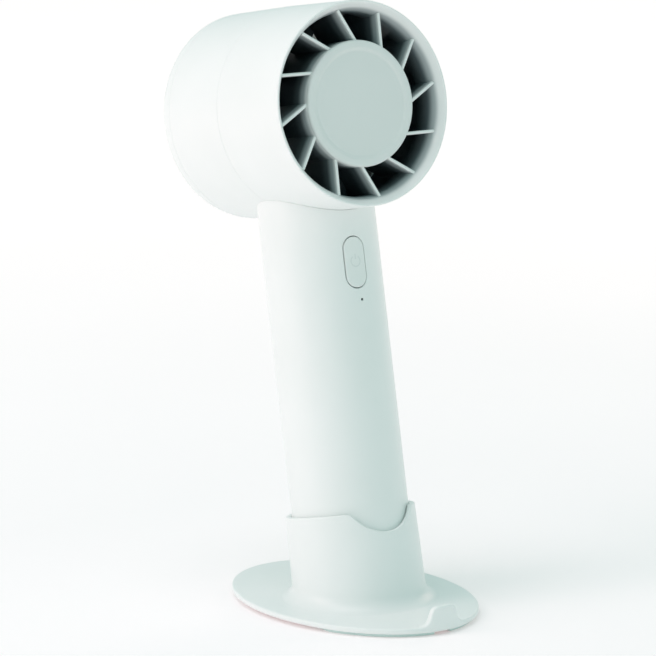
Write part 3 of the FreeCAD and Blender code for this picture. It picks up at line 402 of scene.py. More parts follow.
# Intake grille: two rings of tapered slots between straight ribs, in a dished cap
grille = {
    "slots": 36,
    "rib": 1.1,
    "thick": 2.0,
    "middle": 1.2,           # a plain disc is closed over this radius
    "rings": ((11.0, 19.6), (21.2, 29.8)),
    "faceRadius": 30.6,
    "sunk": 0.25,            # the slotted face lies this far inside its frame
    "edgeRound": 3.5,
    "slotRound": 0.28,
    "spigotWall": 1.7,
}


def makeGrille():
    share = pi / grille["slots"]
    radii = [grille["middle"]] + [r for ring in grille["rings"] for r in ring] + [grille["faceRadius"]]
    level = head["endDepth"] - grille["sunk"]
    bm = bmesh.new()
    # One slot's sector: three columns between straight rib sides, open where the slot is
    rows = []
    for radius in radii:
        side = radius * tan(share)
        gap = max(radius * share - grille["rib"] / 2, side * 0.3)
        rows.append([bm.verts.new((radius, y, level)) for y in (-side, -gap, gap, side)])
    for index, (low, high) in enumerate(zip(rows, rows[1:])):
        for column in range(3):
            isSlot = column == 1 and index in (1, 3)
            if not isSlot:
                bm.faces.new((low[column], high[column], high[column + 1], low[column + 1]))
    copyRound(bm, grille["slots"])
    bmesh.ops.remove_doubles(bm, verts=bm.verts, dist=0.01)
    hub = [edge for edge in bm.edges if edge.is_boundary and edge.verts[0].co.xy.length < 2]
    bmesh.ops.contextual_create(bm, geom=hub)
    faceAlong(bm, (0, 0, 1))
    bmesh.ops.solidify(bm, geom=bm.faces[:], thickness=grille["thick"] - grille["sunk"])
    rims = [edge for edge in edgesBetween(bm.faces, 60) if edge.verts[0].co.xy.length < 30.2]
    bevelEdges(bm, rims, grille["slotRound"], 2)
    end = head["endDepth"]
    rear = head["rearDepth"]
    spigot = head["spigotRadius"]
    inner = spigot - grille["spigotWall"]
    addTurned(bm, [
        (inner, rear - shell["spigot"], 0.2),
        (spigot, rear - shell["spigot"], 0.2),
        (spigot, rear, 0),
        (head["rearRadius"], rear, shell["seamBreak"]),
        (head["rearRadius"], end, grille["edgeRound"]),
        (grille["faceRadius"] - 0.4, end, 0.3),
        (grille["faceRadius"] - 0.4, end - grille["thick"] - 0.1, 0),
        (inner, end - grille["thick"] - 0.1, 0),
    ], segments=8)
    finishPiece(bm, "intake_grille_cap", headPlace, whiteAbs, "fan", ["intake_grille"])


# Guide vanes on their hub, and the ring that holds their tips
vanes = {
    "count": 12,
    "offset": 10.9,          # each vane's middle plane passes the axis at this distance
    "thick": 1.1,
    "front": 2.7,
    "back": 22.0,
    "mouthReach": 30.45,
    "throatReach": 29.6,
    "ringReach": 31.65,
    "ringAt": 12.0,
    "frontRound": 0.5,
    "hubRadius": 20.33,
    "hubWall": 1.5,
    "hubBack": 26.0,
    "web": 2.0,
    "webBore": 4.5,
    "ring": (31.09, 32.29, 12.0, 24.0),
    "strut": (5.0, 18.0, 24.0),
}


def makeVanes():
    bm = bmesh.new()
    root = -sqrt((vanes["hubRadius"] - 0.8) ** 2 - vanes["offset"] ** 2)
    near = vanes["offset"] - vanes["thick"] / 2
    far = vanes["offset"] + vanes["thick"] / 2

    def tipAt(radius):
        return -sqrt(radius ** 2 - vanes["offset"] ** 2)

    front = addBlock(
        bm,
        (near, tipAt(vanes["throatReach"]), vanes["front"]),
        (far, root, vanes["ringAt"]),
    )
    for vert in front:
        if vert.co.z < vanes["front"] + 0.1 and vert.co.y < root - 1:
            vert.co.y = tipAt(vanes["mouthReach"])
    addBlock(
        bm,
        (near + 0.02, tipAt(vanes["ringReach"]), vanes["ringAt"] - 0.5),
        (far - 0.02, root - 0.02, vanes["back"]),
    )
    lengthwise = [
        edge for edge in bm.edges
        if abs(edge.verts[0].co.y - edge.verts[1].co.y) > 1
        and all(vert.co.z < vanes["front"] + 0.1 for vert in edge.verts)
    ]
    bevelEdges(bm, lengthwise, vanes["frontRound"], 4)
    copyRound(bm, vanes["count"])
    bmesh.ops.remove_doubles(bm, verts=bm.verts, dist=0.002)
    inner = vanes["hubRadius"] - vanes["hubWall"]
    addTurned(bm, [
        (inner, vanes["front"], 0),
        (vanes["hubRadius"], vanes["front"], 0),
        (vanes["hubRadius"], vanes["hubBack"], 0.4),
        (vanes["webBore"], vanes["hubBack"], 0.2),
        (vanes["webBore"], vanes["hubBack"] - vanes["web"], 0),
        (inner, vanes["hubBack"] - vanes["web"], 0),
    ])
    ringIn, ringOut, ringFront, ringBack = vanes["ring"]
    addTurned(bm, [
        (ringIn, ringFront, 0.2),
        (ringOut, ringFront, 0),
        (ringOut, ringBack, 0),
        (ringIn, ringBack, 0.2),
    ])
    wide, low, high = vanes["strut"]
    addBlock(bm, (-wide / 2, inner + 0.5, low), (wide / 2, ringOut - 0.4, high), 0.4, 3)
    finishPiece(bm, "stator_vanes_moulding", headPlace, vaneAbsDuctShade, "fan", ["stator_vanes"])


# Hub cap: a flat matt disc inside a soft raised border
hubCap = {
    "radius": 20.33,
    "front": 1.4,
    "back": 2.7,
    "edgeRound": 0.85,
    "borderIn": 17.9,
    "dish": 16.9,
    "deep": 0.6,
    "collar": 18.78,
    "collarWall": 1.5,
    "collarBack": 5.7,
}


def makeHubCap():
    bm = bmesh.new()
    floor = hubCap["front"] + hubCap["deep"]
    addTurned(bm, [
        (0, floor, 0),
        (hubCap["dish"], floor, 0.45),
        (hubCap["borderIn"], hubCap["front"], 0.45),
        (hubCap["radius"], hubCap["front"], hubCap["edgeRound"]),
        (hubCap["radius"], hubCap["back"] - 0.02, 0),
        (hubCap["collar"], hubCap["back"] - 0.02, 0),
        (hubCap["collar"], hubCap["collarBack"], 0.2),
        (hubCap["collar"] - hubCap["collarWall"], hubCap["collarBack"], 0.2),
        (hubCap["collar"] - hubCap["collarWall"], hubCap["back"], 0),
        (0, hubCap["back"], 0),
    ], segments=7)
    finishPiece(bm, "hub_cap_disc", headPlace, hubAbs, "fan", ["hub_cap"])


# Impeller: a deep cup with nine twisted blades
impeller = {
    "hubRadius": 19.8,
    "wall": 2.2,
    "front": 27.5,
    "back": 46.0,
    "bladeMiddle": 36.75,
    "blades": 9,
    "bladeThick": 1.2,
    "bladeRound": 0.35,
    "radius": (18.9, 31.24),     # root and tip, as in the next two
    "chord": (14.0, 17.0),
    "pitch": (42.0, 28.0),
    "camber": 1.1,
    "shaftRadius": 1.5,
    "seat": 43.5,
}


def makeImpeller():
    def between(name, share):
        root, tip = impeller[name]
        return root + (tip - root) * share

    bm = bmesh.new()
    made = bmesh.ops.create_grid(bm, x_segments=16, y_segments=8, size=0.5)["verts"]
    for vert in made:
        across = vert.co.x
        out = vert.co.y + 0.5
        radius = between("radius", out)
        chord = between("chord", out)
        pitch = radians(between("pitch", out))
        arch = impeller["camber"] * (1 - 4 * across * across)
        along = across * chord * cos(pitch) - arch * sin(pitch)
        depth = impeller["bladeMiddle"] + across * chord * sin(pitch) + arch * cos(pitch)
        turn = along / radius
        vert.co = (radius * cos(turn), radius * sin(turn), depth)
    bmesh.ops.recalc_face_normals(bm, faces=bm.faces)
    bmesh.ops.solidify(bm, geom=bm.faces[:], thickness=impeller["bladeThick"])
    bevelEdges(bm, edgesBetween(bm.faces, 50), impeller["bladeRound"], 3)
    copyRound(bm, impeller["blades"])
    bmesh.ops.remove_doubles(bm, verts=bm.verts, dist=0.002)
    inner = impeller["hubRadius"] - impeller["wall"]
    addTurned(bm, [
        (impeller["shaftRadius"], impeller["seat"], 0),
        (inner, impeller["seat"], 0.5),
        (inner, impeller["front"], 0.3),
        (impeller["hubRadius"], impeller["front"], 0.4),
        (impeller["hubRadius"], impeller["back"], 1.5),
        (impeller["shaftRadius"], impeller["back"], 0.2),
    ])
    finishPiece(bm, "impeller_rotor", headPlace, impellerNylon, "rotor", ["impeller"])


makeShells()
makeGrille()
makeVanes()
makeHubCap()
makeImpeller()
print("head done")


# Handle tube. It is laid out flat as (way round, height, depth in the wall) and then rolled up.
tube = {
    "columns": 240,
    "rows": 120,
    "straightTo": 124.0,     # rows above this follow the saddle under the head
    "saddleGap": 0.03,
    "topRound": 0.3,
    "openingRound": 0.22,
    "buttonWide": 7.76,
    "buttonLong": 16.5,
    "buttonGap": 0.3,
    "lightHole": 0.42,
    "portWide": 8.94,
    "portTall": 3.2,
    "portGap": 0.3,
}
girth = 2 * pi * handle["radius"]
seamAt = -girth * 0.25 - 6.0  # the sheet's ends meet on the left, clear of every opening


def headRadiusAt(depth):
    if depth < head["seamDepth"]:
        share = depth / head["seamDepth"]
        return head["frontRadius"] + (head["seamRadius"] - head["frontRadius"]) * share
    share = (depth - head["seamDepth"]) / (head["rearDepth"] - head["seamDepth"])
    return head["seamRadius"] + (head["rearRadius"] - head["seamRadius"]) * share


def saddleHeight(turn, radius):
    # Height on the handle where its outside meets the underside of the head
    x = radius * sin(turn)
    y = -radius * cos(turn)
    frontY = y + handle["headFront"] * cos(headLean)
    frontZ = handle["headUp"] - handle["headFront"] * sin(headLean)
    z = handle["headUp"] - head["frontRadius"]
    for trial in range(4):
        depth = frontY * cos(headLean) + (z - frontZ) * sin(headLean)
        drop = sqrt((headRadiusAt(depth) + tube["saddleGap"]) ** 2 - x * x)
        z = frontZ + (frontY * sin(headLean) - drop) / cos(headLean)
    return z


def rollUp(bm, radius):
    for vert in bm.verts:
        turn = vert.co.x / radius
        reach = radius - vert.co.z
        vert.co = (reach * sin(turn), -reach * cos(turn), vert.co.y)


def onStadium(spot, middle, half, reach, upright):
    # Nearest point of a round-ended outline: half its width, and half the straight part
    offset = spot - middle
    along = offset.y if upright else offset.x
    slid = max(-reach, min(reach, along))
    centre = middle + (Vector((0, slid, 0)) if upright else Vector((slid, 0, 0)))
    return centre + (spot - centre).normalized() * half


def cutOpening(bm, middle, block, half, reach, upright=True):
    # Clear a block of the sheet and draw its edge in to the round-ended outline
    middle = Vector(middle)
    near = (block[0] + 0.4, block[1] + 0.6)
    cleared = [
        face for face in bm.faces
        if abs(face.calc_center_median().x - middle.x) < block[0]
        and abs(face.calc_center_median().y - middle.y) < block[1]
    ]
    bmesh.ops.delete(bm, geom=cleared, context="FACES")
    edges = [
        edge for edge in bm.edges
        if edge.is_boundary
        and all(abs(vert.co.x - middle.x) < near[0] for vert in edge.verts)
        and all(abs(vert.co.y - middle.y) < near[1] for vert in edge.verts)
    ]
    for share in (0.4, 0.7, 1.0):
        edges, verts = growEdge(bm, edges)
        for vert in verts:
            vert.co = vert.co.lerp(onStadium(vert.co, middle, half, reach, upright), share)


def makeHandle():
    bm = bmesh.new()
    low = handle["capTop"]
    straight = tube["straightTo"]
    bmesh.ops.create_grid(bm, x_segments=tube["columns"], y_segments=tube["rows"], size=0.5)
    nominal = straight + 6.0
    for vert in bm.verts:
        across = vert.co.x + 0.5
        up = vert.co.y + 0.5
        vert.co = (seamAt + girth * across, low + (nominal - low) * up, 0)
    wide = tube["buttonWide"] / 2 + tube["buttonGap"]
    reach = (tube["buttonLong"] - tube["buttonWide"]) / 2
    cutOpening(bm, (0, handle["buttonUp"], 0), (wide + 1.2, reach + wide + 1.0), wide, reach)
    light = (handle["lightAcross"], handle["lightUp"], 0)
    cutOpening(bm, light, (1.1, 0.9), tube["lightHole"], 0)
    wide = tube["portTall"] / 2 + tube["portGap"]
    reach = (tube["portWide"] - tube["portTall"]) / 2
    block = (reach + wide + 1.5, wide + 1.8)
    cutOpening(bm, (girth / 2, handle["portUp"], 0), block, wide, reach, False)
    for vert in bm.verts:
        if vert.co.y > straight:
            top = saddleHeight(vert.co.x / handle["radius"], handle["radius"])
            share = (vert.co.y - straight) / (nominal - straight)
            vert.co.y = straight + (top - straight) * share
    rollUp(bm, handle["radius"])
    bmesh.ops.remove_doubles(bm, verts=bm.verts, dist=0.005)
    spot = bm.faces[:][0].calc_center_median()
    faceAlong(bm, (spot.x, spot.y, 0))
    bmesh.ops.solidify(bm, geom=bm.faces[:], thickness=handle["wall"])
    rims = [
        edge for edge in edgesBetween(bm.faces, 50)
        if all(vert.co.xy.length > handle["radius"] - 0.02 for vert in edge.verts)
    ]
    topRim = [edge for edge in rims if edge.verts[0].co.z > straight + 1]
    bottomRim = [edge for edge in rims if edge.verts[0].co.z < low + 0.1]
    openings = [edge for edge in rims if low + 0.1 < edge.verts[0].co.z < straight]
    bevelEdges(bm, openings, tube["openingRound"], 2)
    bevelEdges(bm, topRim, tube["topRound"], 4)
    bevelEdges(bm, bottomRim, shell["seamBreak"], 2)
    finishPiece(bm, "handle_tube_skin", handlePlace, whiteAbs, "fan", ["handle_tube"])


# Bottom cap, plugged into the tube
cap = {
    "edgeRound": 0.8,
    "gap": 0.04,
    "plug": 2.0,
    "plugWall": 1.6,
    "slip": 0.05,
}


def makeBottomCap():
    bm = bmesh.new()
    plug = handle["radius"] - handle["wall"] - cap["slip"]
    seam = handle["capTop"] - cap["gap"]
    end = handle["capTop"] + cap["plug"]
    addTurned(bm, [
        (0, handle["low"], 0),
        (handle["radius"], handle["low"], cap["edgeRound"]),
        (handle["radius"], seam, shell["seamBreak"]),
        (plug, seam, 0),
        (plug, end, 0.3),
        (plug - cap["plugWall"], end, 0.3),
        (plug - cap["plugWall"], handle["capTop"], 0),
        (0, handle["capTop"], 0),
    ])
    finishPiece(bm, "bottom_cap_skin", handlePlace, whiteAbs, "fan", ["bottom_cap"])


# Button: a round-ended key whose face follows the handle
button = {
    "proud": 0.1,
    "depth": 2.0,
    "round": 0.32,
    "around": 120,
    "loops": (0.92, 0.78, 0.6, 0.4, 0.2, 0.0),
    "keeper": (3.5, 1.5, 0.6),
    "markRadius": 1.75,
    "markWide": 0.42,
    "markProud": 0.012,
    "markUp": 0.3,
    "markGap": 35.0,         # half the gap at the top of the ring, in degrees
    "barLong": 1.7,
    "barUp": 1.45,
    "ink": 0.03,
}


def moveToStadium(verts, middle, half, reach, depth):
    for vert in verts:
        spot = onStadium(Vector((vert.co.x, vert.co.y, 0)), middle, half, reach, True)
        vert.co = (spot.x, spot.y, depth)


def stadiumLoop(bm, middle, half, reach, depth, count):
    # A ring of vertices pushed out to the round-ended outline
    made = bmesh.ops.create_circle(bm, cap_ends=False, segments=count, radius=half + reach)["verts"]
    bmesh.ops.translate(bm, vec=middle, verts=made)
    moveToStadium(made, middle, half, reach, depth)
    return list({edge for vert in made for edge in vert.link_edges})


def makeButton():
    bm = bmesh.new()
    middle = Vector((0, handle["buttonUp"], 0))
    half = tube["buttonWide"] / 2
    reach = (tube["buttonLong"] - tube["buttonWide"]) / 2
    loop = stadiumLoop(bm, middle, half, reach, button["depth"], button["around"])
    bmesh.ops.contextual_create(bm, geom=loop)
    edges, verts = growEdge(bm, loop)
    for vert in verts:
        vert.co.z = -button["proud"]
    for share in button["loops"]:
        edges, verts = growEdge(bm, edges)
        size = max(half * share, 0.0001)
        moveToStadium(verts, middle, size, reach, -button["proud"])
    bmesh.ops.remove_doubles(bm, verts=bm.verts, dist=0.002)
    rim = [edge for edge in edgesBetween(bm.faces, 60) if edge.verts[0].co.z < 0]
    bevelEdges(bm, rim, button["round"], 4)
    rollUp(bm, handle["radius"])
    halfKeeper, tongue, thick = button["keeper"]
    back = -handle["radius"] + button["depth"] - 0.05
    reachAll = tube["buttonLong"] / 2 + tongue
    addBlock(
        bm,
        (-halfKeeper, back, handle["buttonUp"] - reachAll),
        (halfKeeper, back + thick, handle["buttonUp"] + reachAll),
        0.15,
    )
    finishPiece(bm, "power_button_key", handlePlace, buttonAbs, "button", ["power_button"])

    # Plain on/off mark: an open ring with a short bar in its gap
    bm = bmesh.new()
    level = -button["proud"] - button["markProud"]
    inner = button["markRadius"] - button["markWide"] / 2
    outer = button["markRadius"] + button["markWide"] / 2
    gap = radians(button["markGap"])
    start = [bm.verts.new((radius * sin(gap), radius * cos(gap), 0)) for radius in (inner, outer)]
    strip = bm.edges.new(start)
    bmesh.ops.spin(
        bm, geom=start + [strip], cent=(0, 0, 0), axis=(0, 0, 1),
        angle=2 * gap - 2 * pi, steps=40, use_merge=False,
    )
    bar = bmesh.ops.create_grid(bm, x_segments=2, y_segments=6, size=0.5)["verts"]
    bmesh.ops.scale(bm, vec=(button["markWide"], button["barLong"], 1), verts=bar)
    bmesh.ops.translate(bm, vec=(0, button["barUp"], 0), verts=bar)
    centre = (0, handle["buttonUp"] + button["markUp"], level)
    bmesh.ops.translate(bm, vec=centre, verts=bm.verts)
    bmesh.ops.recalc_face_normals(bm, faces=bm.faces)
    bmesh.ops.solidify(bm, geom=bm.faces[:], thickness=button["ink"])
    middleLevel = sum(vert.co.z for vert in bm.verts) / len(bm.verts)
    bmesh.ops.translate(bm, vec=(0, 0, level + 0.005 - middleLevel), verts=bm.verts)
    rollUp(bm, handle["radius"])
    finishPiece(bm, "power_button_mark", handlePlace, markInk, "button")


def scaledMove(place):
    # A local place in millimetres, for use in front of the scaling in finishPiece
    moved = place.copy()
    moved.translation = place.translation * mm
    return moved


# Light guide: a thin domed rod with a flange behind the wall
lightPipe = {
    "radius": 0.37,
    "tip": 19.12,            # from the handle's axis, as in the next two
    "flangeFront": 16.6,
    "flangeBack": 16.2,
    "flangeRadius": 1.35,
    "dome": 0.1,
}


def makeLight():
    thin = lightPipe["radius"]
    wide = lightPipe["flangeRadius"]
    bm = bmesh.new()
    addTurned(bm, [
        (0, -lightPipe["tip"], 0),
        (thin, lightPipe["dome"] - lightPipe["tip"], 0.08),
        (thin, -lightPipe["flangeFront"], 0),
        (wide, -lightPipe["flangeFront"], 0.1),
        (wide, -lightPipe["flangeBack"], 0),
        (0, -lightPipe["flangeBack"], 0),
    ], steps=48)
    toFront = Matrix.Translation((handle["lightAcross"], 0, handle["lightUp"]))
    toFront = handlePlace @ scaledMove(toFront @ Matrix.Rotation(-pi / 2, 4, "X"))
    finishPiece(bm, "light_pipe_tip", toFront, lightAcrylic, "fan", ["light_pipe"])


# Charging port: a pressed shell with a tongue and its contacts
port = {
    "wide": 8.94,
    "tall": 3.2,
    "wall": 0.3,
    "back": 11.3,
    "front": 18.6,
    "tongueWide": 6.6,
    "tongueThick": 0.7,
    "tongueFront": 17.7,
    "contacts": 12,
    "contactPitch": 0.5,
    "contactWide": 0.26,
    "contactProud": 0.04,
}


def makePort():
    bm = bmesh.new()
    middle = Vector((0, 0, 0))
    half = port["tall"] / 2
    reach = (port["wide"] - port["tall"]) / 2
    loop = stadiumLoop(bm, middle, half, reach, 0, 96)
    depth = port["front"] - port["back"]
    steps = ((half, depth), (half - port["wall"], depth), (half - port["wall"], 0.5))
    edges = loop
    for size, level in steps:
        edges, verts = growEdge(bm, edges)
        moveToStadium(verts, middle, size, reach, level)
    bmesh.ops.contextual_create(bm, geom=loop)
    bmesh.ops.contextual_create(bm, geom=edges)
    bevelEdges(bm, edgesBetween(bm.faces, 60), 0.07, 2)
    # The outline stands upright in its own frame, so it is laid on its side and turned to the rear
    lay = Matrix.Translation((0, port["back"], handle["portUp"]))
    lay = lay @ Matrix.Rotation(-pi / 2, 4, "X") @ Matrix.Rotation(pi / 2, 4, "Z")
    place = handlePlace @ scaledMove(lay)
    finishPiece(bm, "charge_port_shell", place, platedSteel, "fan", ["charge_port"])

    bm = bmesh.new()
    addBlock(
        bm,
        (-port["tongueWide"] / 2, port["back"] + 0.4, handle["portUp"] - port["tongueThick"] / 2),
        (port["tongueWide"] / 2, port["tongueFront"], handle["portUp"] + port["tongueThick"] / 2),
        0.12,
    )
    finishPiece(bm, "charge_port_tongue", handlePlace, switchNylon, "fan")

    half = port["contactWide"] / 2
    proud = port["contactProud"]
    bm = bmesh.new()
    for index in range(port["contacts"]):
        x = (index - (port["contacts"] - 1) / 2) * port["contactPitch"]
        for side in (-1, 1):
            level = handle["portUp"] + side * port["tongueThick"] / 2
            addBlock(
                bm,
                (x - half, port["back"] + 2.5, level - proud),
                (x + half, port["tongueFront"] - 0.35, level + proud),
            )
    finishPiece(bm, "charge_port_contacts", handlePlace, nickel, "fan")


# Foam pad between the cell and the floor of the handle
pad = {
    "radius": 8.2,
    "low": 10.0,
    "high": 12.8,
    "edgeRound": 0.6,
    "forward": 2.963,        # the cell's axis lies this far in front of the handle's
}


def makePad():
    bm = bmesh.new()
    addTurned(bm, [
        (0, pad["low"], 0),
        (pad["radius"], pad["low"], pad["edgeRound"]),
        (pad["radius"], pad["high"], pad["edgeRound"]),
        (0, pad["high"], 0),
    ], steps=96)
    bmesh.ops.translate(bm, vec=(0, -pad["forward"], 0), verts=bm.verts)
    piece = finishPiece(bm, "battery_pad_disc", handlePlace, foam, "fan", ["battery_pad"])


makeHandle()
makeBottomCap()
makeButton()
makeLight()
makePort()
makePad()
print("handle done")


# Stand: rings of vertices from the middle of the socket floor, over the collar and out to the plate's
# rim, then back underneath. Each ring is placed by a rule, and the operator rounds the corners.
stand = {
    "halfLong": 50.6,
    "halfWide": 34.7,
    "shift": 4.17,           # the plate's middle behind the foot of the handle
    "plateLow": 1.2,
    "plateTop": 3.0,
    "socketRadius": 19.45,
    "floorTop": 6.95,
    "floorLow": 4.95,
    "collarRadius": 21.3,
    "collarFlare": 0.75,
    "collarTop": 31.5,
    "scoopRadius": 13.4,
    "scoopLow": 24.5,
    "scoopBlend": 1.5,
    "topRound": 0.5,
    "mouthRound": 0.8,
    "footRound": 4.5,
    "rimRound": 0.55,
    "lowRound": 0.45,
    "floorMiddle": 8.0,
    "slip": 0.05,
    "rimWide": 6.0,
    "stopHalf": 8.75,
    "stopFillet": 3.6,
    "stopShoulder": 2.7,
    "stopTall": 6.3,
    "stopThick": 2.0,
    "stopRound": 0.45,
    "stopSlope": 72.0,
    "columns": 576,
}


def stopOutline():
    # (sideways, height) from the left foot of the phone stop to the middle of its top
    slope = radians(stand["stopSlope"])
    hollow = stand["stopFillet"]
    shoulder = stand["stopShoulder"]
    risen = (hollow + shoulder) * (1 - cos(slope))
    straight = (stand["stopTall"] - risen) / sin(slope)
    points = []
    x = -stand["stopHalf"]
    for step in range(1, 11):
        turn = slope * step / 10
        points.append((x + hollow * sin(turn), hollow * (1 - cos(turn))))
    x, height = points[-1]
    for step in range(1, 4):
        share = straight * step / 3
        points.append((x + share * cos(slope), height + share * sin(slope)))
    x, height = points[-1]
    for step in range(1, 13):
        turn = slope * (1 - step / 12)
        across = shoulder * (sin(slope) - sin(turn))
        points.append((x + across, height + shoulder * (cos(turn) - cos(slope))))
    x, height = points[-1]
    points += [(x * (1 - step / 5), height) for step in range(1, 6)]
    return points


def standColumns():
    # (angle round the plate from the front, height of the stop there)
    left = stopOutline()
    right = [(-x, height) for x, height in reversed(left[:-1])]
    ledge = [(asin(x / stand["halfWide"]), height) for x, height in left + right]
    start = asin(stand["stopHalf"] / stand["halfWide"])
    rest = stand["columns"]
    sweep = 2 * pi - 2 * start
    return ledge + [(start + sweep * step / rest, 0.0) for step in range(rest)] + [(-start, 0.0)]


def plateSpot(angle, inset):
    # A point of the plate's outline, smaller all round by the inset; near the stop x stays the same
    wide = stand["halfWide"] - inset
    long = stand["halfLong"] - inset
    x = stand["halfWide"] * sin(angle)
    front = cos(angle) > 0
    free = min(1.0, max(0.0, (abs(x) - 9.5) / 12)) if front else 1.0
    x *= 1 - free * inset / stand["halfWide"]
    y = sqrt(max(0.0, 1 - (x / wide) ** 2)) * long
    return x, footY + stand["shift"] + (-y if front else y)


def collarSpot(turn, radius, up):
    return handleToGround @ Vector((radius * sin(turn), -radius * cos(turn), up))


def wallRadius(up):
    return stand["collarRadius"] + stand["collarFlare"] * (1 - up / stand["collarTop"])


def collarTopAt(turn, radius):
    top = stand["collarTop"]
    x = abs(radius * sin(turn))
    if cos(turn) < 0 or x >= stand["scoopRadius"]:
        return top
    middle = stand["scoopLow"] + stand["scoopRadius"]
    scoop = middle - sqrt(stand["scoopRadius"] ** 2 - x * x)
    blend = stand["scoopBlend"]
    near = max(blend - abs(scoop - top), 0) / blend
    return min(scoop, top) - near * near * blend / 4


def levelOnCylinder(turn, radius, level):
    # Height along the handle axis where a line at this turn reaches a level above the ground
    return (level - radius * cos(turn) * sin(lean)) / cos(lean)


def footSpot(turn):
    up = 0.0
    for trial in range(3):
        up = levelOnCylinder(turn, wallRadius(up), stand["plateTop"])
    return up


handleToGround = Matrix.Translation((0, footY, 0)) @ handlePlace.to_3x3().to_4x4()


def makeStand():
    columns = standColumns()
    turns = []
    for angle, height in columns:
        x, y = plateSpot(angle, 0)
        turns.append(atan2(x, footY - y))
    socket = stand["socketRadius"]
    outer = stand["collarRadius"]
    floor = stand["floorTop"]
    middle = stand["floorMiddle"]
    underneath = stand["floorLow"] - stand["slip"]
    top = stand["plateTop"]
    rules = []

    def addRule(name, rule):
        rules.append((name, rule))

    def halfUp(k):
        return collarSpot(turns[k], socket, (floor + collarTopAt(turns[k], socket)) / 2)

    addRule("floorIn", lambda k: collarSpot(turns[k], middle, floor))
    addRule("floorEdge", lambda k: collarSpot(turns[k], socket, floor))
    addRule("bore", halfUp)
    addRule("topIn", lambda k: collarSpot(turns[k], socket, collarTopAt(turns[k], socket)))
    addRule("topOut", lambda k: collarSpot(turns[k], outer, collarTopAt(turns[k], outer)))
    for share in (0.2, 0.4, 0.6, 0.75):
        def onWall(k, share=share):
            foot = footSpot(turns[k])
            up = collarTopAt(turns[k], outer) * (1 - share) + foot * share
            return collarSpot(turns[k], wallRadius(up), up)
        addRule("wall", onWall)

    def foot(k):
        up = footSpot(turns[k])
        return collarSpot(turns[k], wallRadius(up), up)

    addRule("foot", foot)

    def onPlate(inset, level, lifted=0.0):
        def rule(k):
            x, y = plateSpot(columns[k][0], inset)
            return Vector((x, y, level + columns[k][1] * lifted))
        return rule

    thick = stand["stopThick"]
    addRule("plate", onPlate(thick + 1.6, top))
    addRule("stopFoot", onPlate(thick + 0.35, top))
    addRule("stopIn", onPlate(thick, top, 1.0))
    addRule("rimTop", onPlate(0, top, 1.0))
    addRule("rimLow", onPlate(0, stand["plateLow"]))
    addRule("under", onPlate(stand["rimWide"], stand["plateLow"]))

    def hole(k):
        return collarSpot(turns[k], socket, levelOnCylinder(turns[k], socket, stand["plateLow"]))

    addRule("holeEdge", hole)
    addRule("holeTop", lambda k: collarSpot(turns[k], socket, underneath))
    addRule("floorUnder", lambda k: collarSpot(turns[k], middle, underneath))

    bm = bmesh.new()
    named = {}
    column = bm.verts.layers.int.new("column")
    level = bm.verts.layers.int.new("ring")
    bmesh.ops.create_circle(bm, cap_ends=False, segments=len(columns), radius=1.0)
    edges = bm.edges[:]
    ring = sorted(bm.verts, key=lambda vert: atan2(vert.co.x, vert.co.y))
    for index, vert in enumerate(ring):
        vert[column] = index
        vert.co = rules[0][1](index)
    for number, (name, rule) in enumerate(rules[1:], 1):
        edges, verts = growEdge(bm, edges)
        for vert in verts:
            vert[level] = number
            vert.co = rule(vert[column])
        named[name] = number
    for number in (0, len(rules) - 1):
        end = [edge for edge in bm.edges if all(vert[level] == number for vert in edge.verts)]
        bmesh.ops.contextual_create(bm, geom=end)
    bmesh.ops.recalc_face_normals(bm, faces=bm.faces)

    def ringEdges(name):
        number = named[name]
        found = [edge for edge in bm.edges if all(vert[level] == number for vert in edge.verts)]
        if name == "stopIn":
            found = [edge for edge in found if max(vert.co.z for vert in edge.verts) > top + 0.02]
        return found

    # Bevelling makes new vertices, so every ring's edges are picked before the first cut
    picks = [
        ("foot", stand["footRound"], 10),
        ("topIn", stand["mouthRound"], 4),
        ("topOut", stand["topRound"], 4),
        ("stopIn", stand["stopRound"], 3),
        ("rimTop", stand["rimRound"], 4),
        ("rimLow", stand["lowRound"], 3),
    ]
    chosen = [(ringEdges(name), size, segments) for name, size, segments in picks]
    for picked, size, segments in chosen:
        bevelEdges(bm, picked, size, segments)
    label = "stand_base_moulding"
    finishPiece(bm, label, groundPlace, whiteAbs, "stand", ["stand_base"], 50)


# Feet: four pale arcs under the rim
feet = {
    "inset": (1.6, 4.8),
    "from": 3.0,
    "to": 28.0,
    "round": 0.3,
    "columns": 48,
}


def makeFeet():
    for front in (True, False):
        for side in (-1, 1):
            bm = bmesh.new()
            bmesh.ops.create_grid(bm, x_segments=feet["columns"], y_segments=4, size=0.5)
            for vert in bm.verts:
                share = vert.co.x + 0.5
                across = vert.co.y + 0.5
                inset = feet["inset"][0] + (feet["inset"][1] - feet["inset"][0]) * across
                x = side * (feet["from"] + (feet["to"] - feet["from"]) * share)
                y = sqrt(1 - (x / (stand["halfWide"] - inset)) ** 2) * (stand["halfLong"] - inset)
                vert.co = (x, footY + stand["shift"] + (-y if front else y), 0)
            faceAlong(bm, (0, 0, -1))
            bmesh.ops.solidify(bm, geom=bm.faces[:], thickness=stand["plateLow"])
            low = [edge for edge in edgesBetween(bm.faces, 60) if edge.verts[0].co.z < 0.1]
            bevelEdges(bm, [edge for edge in low if edge.verts[1].co.z < 0.1], feet["round"], 3)
            label = "foot_%s_%s" % ("front" if front else "rear", "left" if side < 0 else "right")
            finishPiece(bm, label + "_pad", groundPlace, footRubber, "stand", [label])


makeStand()
makeFeet()
print("stand done")


